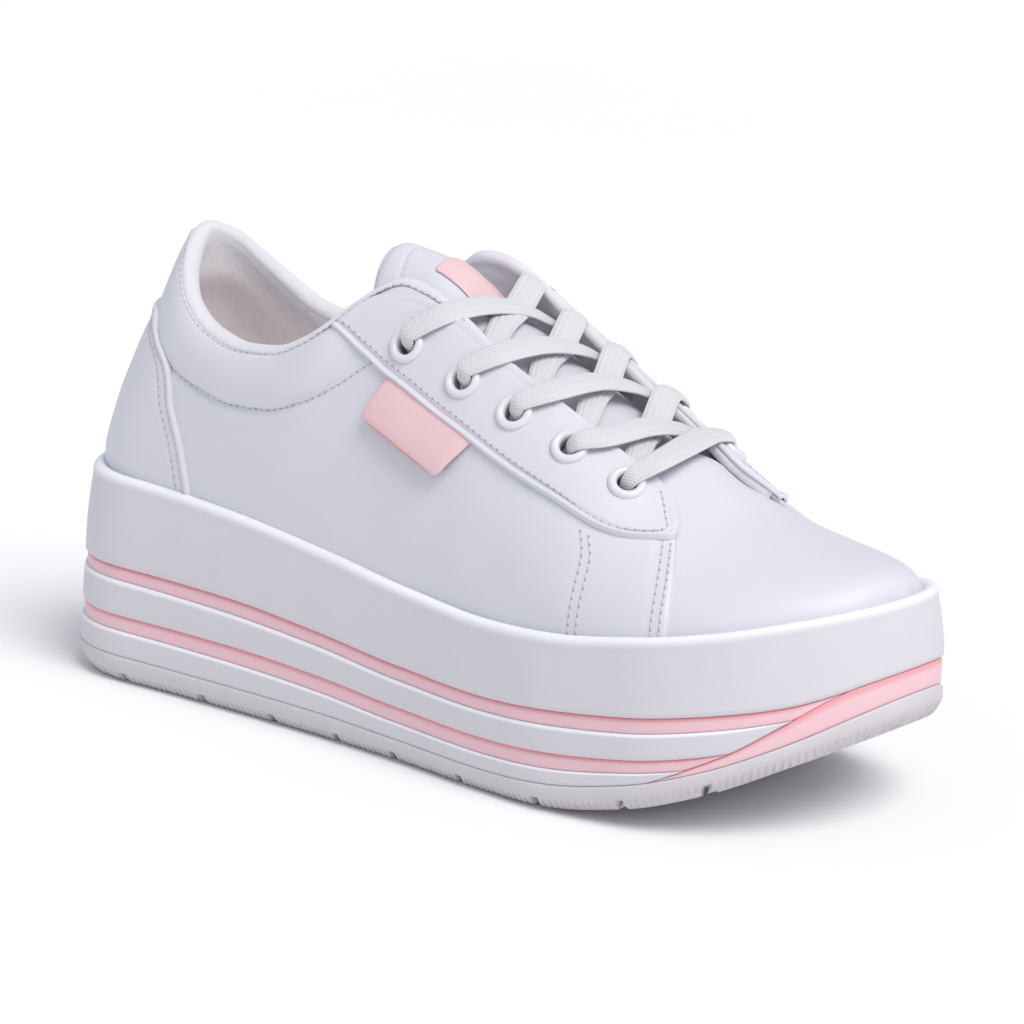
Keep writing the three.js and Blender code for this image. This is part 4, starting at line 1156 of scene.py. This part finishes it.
@dataclass
class Upper:
    """The hollow upper: quarters, vamp, collar lining, counter and eyestays, with their stitches."""

    top: Track = field(default_factory=collar_level)
    leather: float = 1.5
    holes_in: tuple[float, float, float] = (3.9, 4.3, 4.6)  # quarters, eyestays and lining
    quarter_rise: float = 0.5
    seam_drop: float = 2.5
    puff: float = 2.1
    threads: list = field(default_factory=list)
    # The places of dark grains that paint the shade in the needle holes.
    holes: list = field(default_factory=list)

    def open_cells(self, points: Array, radius: float) -> Array:
        """The grid cells under the eyelets."""
        middle = (points[:-1, :-1] + points[1:, 1:]) / 2
        near = np.zeros(middle.shape[:2], bool)
        for side in Side:
            for at, _ in eyelet_seats(side.value, lifted=False):
                near |= np.linalg.norm(middle - at, axis=-1) < radius
        return near

    def quarter_offset(self, point: Array, s: Array, front: Array) -> Array:
        """How far the quarter stands over the last: padding, troughs and a thin front edge."""
        x, z = point[..., 0], point[..., 2]
        low = PAD_LINE(x)
        top = COLLAR_LINE(x) - self.seam_drop + 0.2
        t = np.clip((z - low) / np.maximum(top - low, 1.0), 0, 1)
        fade = (1 - smooth((x - 90) / 24)) * (0.22 + 0.78 * smooth((x - 24) / 30))
        rise = self.puff * fade * np.sin(math.pi * t) ** 0.7
        rise -= 0.8 * fade * bell(z - low + 0.2, 1.5)
        rise += 0.25 * fade * bell(z - low + 3.4, 2.4)
        rise -= 0.5 * fade * bell(z - top, 0.9)
        edge = rounded(front - s + 0.05, 1.1)
        rise += (self.quarter_rise + 0.35) * edge - 0.35
        rise -= 0.22 * bell(front - s - 3.1, 0.7) + 0.2 * bell(front - s - 5.2, 0.7)
        ripple = 0.10 * np.sin(x * 0.21 + z * 0.13) * np.sin(z * 0.17 - x * 0.05)
        return rise + ripple

    def quarters(self) -> None:
        """Both quarters as one skin round the heel."""
        a = np.linspace(-1, 1, 381)[:, None]
        v = np.linspace(0, 1, 92)[None, :]
        side = np.where(a < 0, -1.0, 1.0)
        share = forward_share(a)
        level = v * seam_level(self.top, share * THROAT_FRONT)
        front = QUARTER_FRONT(v * 0.838)
        s = share * front
        point, outward = Last.skin(side, s, level)
        normal = grid_normals(point)
        normal *= np.sign((normal * outward).sum(-1, keepdims=True))
        rise = self.quarter_offset(point, s, np.broadcast_to(front, s.shape))
        rise = rise + flap_lift(side, s, level) - 0.7 * (1 - rounded((1 - v) * 60, 1.2))
        skin = point + normal * rise[..., None]
        made = sheet_of("quarters", skin, outward, self.leather, self.open_cells(skin, self.holes_in[0]))
        dress(made, "white_leather", Slot.LEATHER, "upper")

    def vamp(self) -> None:
        """The smooth front, which runs back under the quarters and over the tongue's root."""
        b = np.sin(np.linspace(-1, 1, 171) * math.pi / 2)[None, :]
        side = np.where(b < 0, -1.0, 1.0)
        level = 1 - np.abs(b)
        start = 193.5 - 3.0 * smooth((0.86 - level) / 0.1)
        t = np.linspace(0, 1, 120)[:, None]
        s = start + (Last.toe - start) * (1 - (1 - t) ** 1.9)
        point, outward = Last.skin(side, s, level)
        rise = -0.35 + 0.08 * np.sin(s * 0.16 + level * 5) * np.sin(level * 9)
        off_middle = (point[..., 1] - swing(s)) / 16
        rise += 2.2 * np.clip(1 - off_middle**2, 0, 1) * (1 - smooth((s - 197) / 22))
        rise -= 2.2 * smooth((199 - s) / 6)
        made = sheet_of("vamp", point + outward * rise[..., None], outward, 1.4)
        dress(made, "white_leather", Slot.LEATHER, "upper")

    def lining(self) -> None:
        """The cloth that rolls over the collar and lines the inside."""
        a = np.linspace(-1, 1, 341)
        side = np.where(a < 0, -1.0, 1.0)
        s = forward_share(a) * np.where(a < 0, 203.0, 209.5)
        past_throat = (a > 0) & (s > THROAT_FRONT)
        top = np.where(past_throat, THROAT_END(s), self.top(np.minimum(s, THROAT_FRONT)))
        edge, out = Last.skin(side, s, top)
        climb = edge - Last.point(side, s, top - LEVEL_STEP)
        up, climb = unit(climb), np.linalg.norm(climb, axis=-1) / LEVEL_STEP
        wide, drop = COLLAR_WIDTH(s), SEAM_DROP(s)
        edge = edge + out * flap_lift(side, s, top)[:, None]
        rows, away = [], []
        for angle in np.linspace(-0.35, math.pi, 17):
            lean = (wide / 2 + 0.25) * math.cos(angle) - wide / 2 + 0.35
            rise = drop * math.sin(angle) - drop
            rows.append(edge + out * lean[:, None] + up * rise[:, None])
            away.append(out * math.cos(angle) + up * math.sin(angle))
        seam = top - drop / np.maximum(climb, 1.0)
        for t in np.linspace(0.02, 1, 40):
            level = seam * (1 - t)
            here, outward = Last.skin(side, s, level)
            depth = np.clip(edge[:, 2] - here[:, 2], 0, None)
            swell = 1 + 0.22 * np.sin(np.clip(depth / 22, 0, 1) * math.pi)
            bulge = swell * (1 - smooth((depth - 13) / 12))
            inset = 2.3 + (wide - 2.3) * bulge - flap_lift(side, s, level)
            rows.append(here - outward * inset[:, None])
            away.append(-outward)
        skin = np.stack(rows, 1)
        middle = slice(len(a) // 2 - 16, len(a) // 2 + 17)
        for _ in range(60):
            part = skin[middle]
            part[1:-1] += 0.25 * (part[2:] + part[:-2] - 2 * part[1:-1])
        cells = self.open_cells(skin, self.holes_in[2])
        made = sheet_of("collar_lining", skin, np.stack(away, 1), 0.7, cells)
        dress(made, "binding_cloth", Slot.LINING)

    def counter(self) -> None:
        """The leather piece round the heel, with a folded front edge."""
        low, high = 45.0, 105.6
        a = np.linspace(-1, 1, 181)[:, None]
        height = 1 - (1 - np.linspace(0, 1, 84)) ** 1.7
        z = low + (high - low) * height[None, :]
        reach = COUNTER_FRONT(z) * np.sqrt(np.clip((high - z) / 1.2, 0, 1))
        side = np.where(a < 0, -1.0, 1.0)
        s_front = Last.locate(np.maximum(reach, 12.0), z)[0]
        s_front = np.minimum(s_front, np.maximum(reach, 0.05))
        s = np.abs(a) ** 2.0 * s_front
        x = s + Last.heel_lean(z) * (1 - smooth(s / Last.lean_fades))
        _, level = Last.locate(x, np.broadcast_to(z, s.shape))
        point, outward = Last.skin(side, s, level)
        gap = np.minimum(np.abs(point[..., 0] - point[-1:, :, 0]), 60)
        below = np.maximum(PAD_LINE(point[..., 0]) - point[..., 2], 0)
        away = np.minimum(gap, below + 1.2)
        rise = self.quarter_rise - 0.2 + 1.0 * rounded(away, 0.9) + 0.5 * bell(away - 1.2, 0.9)
        rise -= 0.3 * bell(away - 3.0, 0.7) + 0.25 * bell(away - 5.6, 0.8)
        made = sheet_of("heel_counter_leather", point + outward * rise[..., None], outward, 0.9)
        dress(made, "white_leather", Slot.LEATHER, "heel_counter")

    def eyestay(self, side: Side) -> None:
        """The eyelet facing, with a piped lower edge."""
        scale = (1.0, 62.0)  # mm for one unit of station and of level
        low, high = (spline(np.array(edge) * scale, 230) / scale for edge in (EYESTAY_LOW, EYESTAY_HIGH))
        t = np.linspace(0, 1, 58)
        v = (0.8 * (0.5 - 0.5 * np.cos(math.pi * t)) + 0.2 * t)[None, :, None]
        place = low[:, None] * (1 - v) + high[:, None] * v
        s, level = place[..., 0], place[..., 1]
        point, outward = Last.skin(side.value, s, level)
        to_low, to_high = clearance(point, point[:, 0]), clearance(point, point[:, -1])
        rise = 0.25 + 1.35 * rounded(np.minimum(to_low, to_high), 0.8)
        rise += 0.75 * bell(to_low - 0.95, 0.6) - 0.45 * bell(to_low - 2.05, 0.4)
        rise -= 0.15 * bell(to_high - 2.6, 0.6)
        rise += flap_lift(side.value, s, level)
        skin = point + outward * rise[..., None]
        cells = self.open_cells(skin, self.holes_in[1])
        made = sheet_of(f"eyestay_{side.word}_leather", skin, outward, 0.8, cells)
        dress(made, "white_leather", Slot.LEATHER, f"eyestay_{side.node}")

    def landed(self, at: Array, out: Array, pieces: Sequence[str]) -> Array:
        """Moves places along their outward directions onto the outermost of some pieces."""
        trees = []
        for name in pieces:
            mesh = bpy.data.objects[name].data
            corners = [tuple(v.co) for v in mesh.vertices]
            trees.append(BVHTree.FromPolygons(corners, [tuple(p.vertices) for p in mesh.polygons]))
        found, reach = [], 7.0
        for place, way in zip(at, out):
            start = Vector(((place + way * reach - MIDDLE) * MM).tolist())
            hits = [tree.ray_cast(start, Vector((-way).tolist()), 2 * reach * MM) for tree in trees]
            near = min((h[3] for h in hits if h[0] is not None), default=reach * MM)
            found.append(place + way * (reach - near / MM))
        return np.array(found)

    def seam(self, line: Sequence[tuple[float, float]], *pieces: str, pitch: float = 2.3) -> None:
        """Keeps a row of stitches along (station, level) places, on both sides.

        Args:
            line: The places.
            *pieces: What the row is sewn into, with {side} where the name says its side.
            pitch: The distance from stitch to stitch.
        """
        scale = (1, 60)  # mm for one unit of station and of level
        s, level = (spline(np.array(line, float) * scale, 400) / scale).T
        for side in Side:
            at, out = Last.over(side.value, s, level, 1.0), Last.normal(side.value, s, level)
            count = max(int(travelled(at)[-1] / pitch), 2)
            both = resampled(np.hstack([at, out]), 2 * count + 1)
            names = [piece.format(side=side.word) for piece in pieces]
            on = self.landed(both[:, :3], unit(both[:, 3:]), names)
            rows = (on, np.gradient(on, axis=0), both[:, 3:])
            self.threads.append([row[1::2] for row in rows])
            # Every other place gets a dark grain of painted shade for its needle hole.
            self.holes.append([row[::2] for row in rows])

    def stitches(self) -> None:
        """All the visible rows of stitches."""
        eyestay = "eyestay_{side}_leather"
        low = [(s + 0.2, level + 0.027) for s, level in EYESTAY_LOW[1:9]]
        self.seam([(99.5, 0.594), *low, *EYESTAY_SEAM_END], eyestay)
        x = np.linspace(36, 112.5, 28)
        self.seam(list(zip(*Last.locate(x, PAD_LINE(x) - 0.2))), "quarters")
        s = np.linspace(0.5, 136, 60)
        self.seam(list(zip(s, seam_level(self.top, s) - 0.006)), "quarters", "collar_lining", eyestay)
        for back in (2.2, 4.6):
            levels = np.linspace(0.10, 0.66, 16)
            self.seam(list(zip(QUARTER_FRONT(levels) - back, levels)), "quarters")
        for back in (0.0, 2.6):
            self.seam([(s - back, level) for s, level in QUARTER_MIDDLE], "quarters")
        for back in (2.6, 5.4):
            z = np.linspace(50, 101, 24)
            self.seam(list(zip(*Last.locate(COUNTER_FRONT(z) - back, z))), "heel_counter_leather")
        # The threads, and the dark grains of painted shade at the needle holes.
        for name, rows, size, finish in (
            ("seam_threads", self.threads, (0.72, 0.30, 0.20), "seam_thread"),
            ("needle_holes", self.holes, (0.42, 0.36, 0.12), "needle_hole"),
        ):
            made = grains(name, *(np.vstack(column) for column in zip(*rows)), size)
            dress(made, finish, Slot.LEATHER)

    def build(self) -> None:
        """Builds every piece of the upper, and sews it last."""
        self.quarters()
        self.vamp()
        self.lining()
        self.counter()
        for side in Side:
            self.eyestay(side)
        Tongue().build()
        SideTag().build()
        self.stitches()


@dataclass
class Tongue:
    """The padded tongue with a rounded top, a sewn channel and a bare label."""

    top: float = 98.0
    root: float = 214.0
    depth: float = 4.7
    half: float = 24.0
    taper: float = 3.0
    channel: float = 7.6
    label_at: float = 127.6
    label_aside: float = 2.6
    label_reach: tuple[float, float] = (9.8, 11.2)
    fold_at: float = 137.0

    def half_width(self, s: Array) -> Array:
        """Half the tongue's breadth."""
        full = self.half - self.taper * smooth((s - 110) / 100)
        return full * (0.34 + 0.66 * rounded(s - self.top, 11.0))

    def crown_rise(self, s: Array, q: Array) -> Array:
        """The crown, the rolled top edge and the sewn channel."""
        roll = -2.6 * (1 - rounded(s - self.top, 6.0))
        channel = bell(s - self.top - 9.0 * q**2 - self.channel, 0.45)
        return 0.9 * (1 - q**2) + roll - 0.6 * channel

    def laid(self, s: Array, y: Array, height: Array) -> Array:
        """Places at a height over the sagging tongue, by station and distance from the crown line."""
        sunk = TONGUE_SAG(s) * np.clip(1 - (y / 19) ** 2, 0, 1)
        return Last.across(s, np.where(y == 0, 1e-4, y), height - self.depth - sunk)

    def pad(self, p: Array, q: Array, share: Array) -> Array:
        """A place in the pad."""
        s = self.top + (self.root - self.top) * (p + 1) / 2
        thick = 2.6 + 2.2 * (1 - smooth((s - 106) / 30))
        height = thick / 2 * (share - 1) + self.crown_rise(s, q) * (share > 0)
        return self.laid(s, q * self.half_width(s), height - 5.5 * smooth((s - 196) / 12))

    def label(self, p: Array, q: Array, share: Array) -> Array:
        """A place in the label."""
        along, aside = self.label_reach
        corner = 1 - 0.10 * (1 - rounded(1 - np.abs(q), 0.16))
        s, y = self.label_at + along * p * corner, self.label_aside + q * aside
        return self.laid(s, y, 1.15 + 0.45 * share)

    def fold(self, p: Array, q: Array, share: Array) -> Array:
        """A place in the label's folded edge."""
        aside = self.label_reach[1] - 0.3
        return self.laid(self.fold_at + 0.9 * p, self.label_aside + q * aside, 1.2 + 0.62 * share)

    def build(self) -> None:
        """Builds the pad, the label and its fold."""
        made = pillow("tongue_pad", self.pad, (150, 60), edge=7.0)
        dress(made, "white_leather", Slot.LEATHER, "tongue")
        dress(pillow("tongue_label", self.label, (48, 48), edge=14.0), "pink_leather", Slot.TAG)
        dress(pillow("tongue_label_fold", self.fold, (14, 48), edge=6.0), "coral_edge", Slot.TAG)


@dataclass
class SideTag:
    """The bare folded tag that hangs from the outer eyestay's lower edge."""

    # Upper back, upper front, lower front and lower back corner, as x and z.
    corners: tuple[tuple[float, float], ...] = ((120.4, 103.4), (152.0, 90.7), (143.6, 78.0), (114.4, 89.2))

    def plan(self, p: Array, q: Array) -> tuple[Array, Array]:
        """The tag's x and z in side view."""
        round_p = 1 - 0.09 * (1 - rounded(1 - q, 0.22)) * (q > 0.5)
        u = ((p * round_p + 1) / 2)[..., None]
        v = ((q + 1) / 2)[..., None]
        high_back, high_front, low_front, low_back = np.array(self.corners)
        high = high_back * (1 - u) + high_front * u
        low = low_back * (1 - u) + low_front * u
        at = high * (1 - v) + low * v
        return at[..., 0], at[..., 1]

    def leaf(self, p: Array, q: Array, share: Array, rise: float = 0.0) -> Array:
        """A place in the tag."""
        s, level = Last.locate(*self.plan(p, q))
        down = (q + 1) / 2
        thick = 0.25 + 0.6 * smooth(down * 2.6)
        curl = 0.95 + 2.6 * smooth(down * 1.15 - 0.10) + 0.3 * np.sin(p * 2.4 + 0.5) * down
        return Last.over(-1.0, s, level, curl + thick * share + rise)

    def fold(self, p: Array, q: Array, share: Array) -> Array:
        """A place in the folded edge."""
        return self.leaf(p * 0.985, 0.955 + 0.062 * q, share * 0.9, -0.18)

    def build(self) -> None:
        """Builds the tag and its fold."""
        made = pillow("side_tag_leather", self.leaf, (60, 34), edge=12.0)
        dress(made, "pink_leather", Slot.TAG, "side_tag")
        dress(pillow("side_tag_fold", self.fold, (60, 12), edge=5.0), "coral_edge", Slot.TAG)


# ---------------------------------------------------------------- eyelets and lace

# Each strand's places over the throat, from its own flap to the other, as x, y, z. The first only
# sets the way out of the eyelet, as the bar's first and last do.
OUTER_STRANDS = (
    ((125.6, -23.2, 115.4), (131.4, -18.4, 118.9), (135.4, -5.0, 119.6), (138.5, 6.1, 117.2),
     (141.0, 13.0, 113.6)),
    ((144.9, -22.9, 107.8), (150.4, -18.2, 111.0), (153.2, -6.0, 111.6), (154.9, 4.9, 109.6),
     (156.5, 13.0, 106.6)),
    ((162.6, -22.2, 100.9), (167.6, -17.4, 103.6), (170.5, -4.5, 104.2), (172.1, 7.0, 101.6),
     (173.4, 13.5, 98.9)),
    ((180.4, -21.2, 91.4), (184.9, -16.8, 94.0), (187.3, -4.2, 94.6), (188.3, 7.0, 92.6),
     (189.4, 13.5, 90.4)),
)
INNER_STRANDS = (
    ((125.2, 23.6, 116.6), (133.0, 17.6, 122.6), (137.2, 5.4, 118.0), (140.2, -5.0, 115.2),
     (143.6, -13.0, 112.0)),
    ((144.0, 23.4, 110.0), (147.6, 17.4, 115.0), (151.6, 5.4, 109.6), (155.0, -5.0, 107.4),
     (159.0, -13.2, 104.2)),
    ((160.4, 22.8, 103.6), (162.4, 17.0, 108.0), (167.0, 5.4, 102.2), (171.0, -5.0, 100.0),
     (174.8, -13.0, 96.6)),
    ((177.6, 22.0, 95.0), (179.4, 16.6, 98.9), (183.4, 5.2, 93.0), (187.2, -5.0, 91.2),
     (190.6, -12.4, 88.2)),
)
BAR = (
    (196.4, -18.0, 86.4), (198.9, -12.0, 89.4), (198.3, -1.4, 90.8), (196.2, 8.5, 91.0),
    (194.6, 15.2, 90.4), (194.0, 19.4, 89.0),
)


@dataclass
class Lacing:
    """Ten eyelets, four crossings and the straight bar at the bottom."""

    hole: float = 2.7
    flange: float = 5.1
    seat: float = 1.55
    rise: float = 1.35
    width: float = 7.6
    thick: float = 1.35

    def eyelet(self, name: str, at: Array, out: Array, node: str) -> None:
        """A rolled ring with its barrel."""
        hole, flange, seat, rise = self.hole, self.flange, self.seat, self.rise
        profile = [(hole, -2.6), (hole, seat - 0.2)]
        for angle in np.linspace(math.pi, 0, 13):
            middle, spread = (hole + flange) / 2, (flange - hole) / 2
            profile.append((middle + spread * math.cos(angle), seat + rise * math.sin(angle) ** 0.85))
        profile += [(flange - 0.1, seat - 0.5), (hole + 0.8, seat - 0.6), (hole + 0.8, -2.6)]
        x_axis = unit(np.cross(out, (0.0, 0.0, 1.0)))
        y_axis = np.cross(out, x_axis)
        turn = np.linspace(0, 2 * math.pi, 48, endpoint=False)[:, None]
        round_it = np.cos(turn) * x_axis + np.sin(turn) * y_axis
        rings = [at + out * height + round_it * radius for radius, height in profile]
        points = np.stack([*rings, rings[0]])
        made = tidy_mesh(make_object(name, points, grid_faces(*points.shape[:2], ring=True)))
        dress(made, "eyelet_lacquer", Slot.EYELET, node)

    def start(self, at: Array, out: Array, run: Array) -> list:
        """The steps out of an eyelet's hole and over its ring."""
        flat = unit(run - (run @ out) * out)
        return [
            (at - out * 2.6 - flat * 0.5, -flat, 3.9),
            (at + out * 0.4 - flat * 0.4, -flat, 4.2),
            (at + out * 2.7 + flat * 0.8, out * 0.7 - flat, 4.7),
            (at + out * 3.9 + flat * 3.6, out, 5.6),
        ]

    def strand(self, side: Side, index: int, node: str) -> None:
        """One strand, out of its eyelet, across the throat and in under the other flap."""
        at, out = eyelet_seats(side.value)[index]
        route = np.array((OUTER_STRANDS if side is Side.OUTER else INNER_STRANDS)[index])
        steps = self.start(at, out, unit(route[0] - at))
        wide = self.width
        widths = (wide, wide + 0.3, wide - 0.2, wide - 1.0)
        steps += [(place, None, width) for place, width in zip(route[1:], widths)]
        steps.append((route[-1] + (2.4, -side.value * 5.0, -3.8), (0.2, -side.value, 0.8), 5.0))
        self.lay(f"lace_{side.word}_{index + 1}", steps, node)

    def bar(self) -> None:
        """The straight bar over the bottom of the throat."""
        outer, outer_out = eyelet_seats(Side.OUTER.value)[-1]
        inner, inner_out = eyelet_seats(Side.INNER.value)[-1]
        steps = self.start(outer, outer_out, unit(BAR[0] - outer))
        widths = (7.0, self.width, self.width, 7.0)
        steps += [(place, None, width) for place, width in zip(BAR[1:-1], widths)]
        steps += reversed(self.start(inner, inner_out, unit(BAR[-1] - inner)))
        self.lay("lace_bottom_bar", steps, "lace_bar")

    def lay(self, name: str, steps: list, node: str) -> None:
        """Lays a lace through (place, up, width) steps, which faces away from the crown without an up."""
        ups = []
        for place, up, _ in steps:
            tilt = (place[1] - swing(place[0])) / 40
            ups.append((0.42, tilt, 1.0) if up is None else up)
        places, widths = np.array([step[0] for step in steps]), np.array([step[2:] for step in steps])
        both = spline(np.hstack([places, unit(np.array(ups)) * 3, widths]), 72)
        made = ribbon(name, both[:, :3], both[:, 3:6], both[:, 6], self.thick)
        dress(made, "lace_braid", Slot.LACE, node)

    def build(self) -> None:
        """Builds the eyelets, then the lace from the toe up."""
        for side in Side:
            for number, (at, out) in enumerate(eyelet_seats(side.value), 1):
                word = f"{side.node}_{number}"
                self.eyelet(f"eyelet_ring_{word}", at, out, f"eyelet_{word}")
        self.bar()
        for index in reversed(range(len(OUTER_STRANDS))):
            for side in reversed(Side):
                self.strand(side, index, f"lace_cross_{index + 1}")


# ---------------------------------------------------------------- floor, light and camera


@dataclass
class Studio:
    """A pale floor, soft light and the camera."""

    azimuth: float = math.radians(37.78)
    elevation: float = math.radians(14.73)
    roll: float = math.radians(1.45)
    distance: float = 1.235
    target: tuple[float, float, float] = (0.0007, -0.0003, 0.050)
    lens: float = 160.07
    shift: tuple[float, float] = (0.0172, 0.0395)
    key_towards: tuple[float, float, float] = (1.1, -0.28, 1.5)
    key_power: float = 2.15
    key_spread: float = math.radians(34.0)
    key_colour: tuple[float, float, float] = (1.0, 0.975, 0.945)
    room_colour: tuple[float, float, float, float] = (0.90, 0.93, 1.0, 1.0)
    room_power: float = 0.62

    def floor(self) -> None:
        """A wide pale floor."""
        bpy.ops.mesh.primitive_plane_add(size=30.0)
        plane = bpy.context.object
        plane.name = "floor"
        net = Net("floor_paint")
        colour = net.between(net.noise(600), (0.90, 0.90, 0.905), (0.93, 0.93, 0.93))
        net.bumped((net.noise(30), 0.05, 0.2),)
        plane.data.materials.append(net.finish(colour, 0.8, Specular_IOR_Level=0.1))

    def lights(self) -> None:
        """An even bright room and one broad soft key light."""
        world = bpy.data.worlds.new("studio")
        world.use_nodes = True
        room = world.node_tree.nodes["Background"]
        room.inputs["Color"].default_value = self.room_colour
        room.inputs["Strength"].default_value = self.room_power
        bpy.context.scene.world = world
        bpy.context.scene.view_settings.view_transform = "Standard"
        data = bpy.data.lights.new("key", "SUN")
        data.energy, data.angle, data.color = self.key_power, self.key_spread, self.key_colour
        made = bpy.data.objects.new("key", data)
        made.rotation_euler = Vector(self.key_towards).to_track_quat("Z", "Y").to_euler()
        bpy.context.scene.collection.objects.link(made)

    def camera(self) -> None:
        """The camera."""
        a, e, r = self.azimuth, self.elevation, self.roll
        back = Vector((math.sin(a) * math.cos(e), -math.cos(a) * math.cos(e), math.sin(e)))
        right = Vector((math.cos(a), math.sin(a), 0))
        up = back.cross(right)
        turned_right = right * math.cos(r) + up * math.sin(r)
        turned_up = up * math.cos(r) - right * math.sin(r)
        data = bpy.data.cameras.new("camera")
        data.lens, data.sensor_width = self.lens, 36.0
        data.shift_x, data.shift_y = self.shift
        data.clip_start, data.clip_end = 0.05, 60.0
        made = bpy.data.objects.new("camera", data)
        turn = Matrix((turned_right, turned_up, back)).transposed().to_4x4()
        made.matrix_world = Matrix.Translation(Vector(self.target) + back * self.distance) @ turn
        bpy.context.scene.collection.objects.link(made)
        bpy.context.scene.camera = made

    def build(self) -> None:
        """Sets up floor, light and camera."""
        self.floor()
        self.lights()
        self.camera()


def main() -> None:
    """Builds the shoe from the ground up, then the studio."""
    logging.basicConfig(level=logging.INFO, format="%(name)s: %(message)s")
    PlatformSole().build()
    Upper().build()
    Lacing().build()
    Studio().build()


if __name__ == "__main__":
    main()
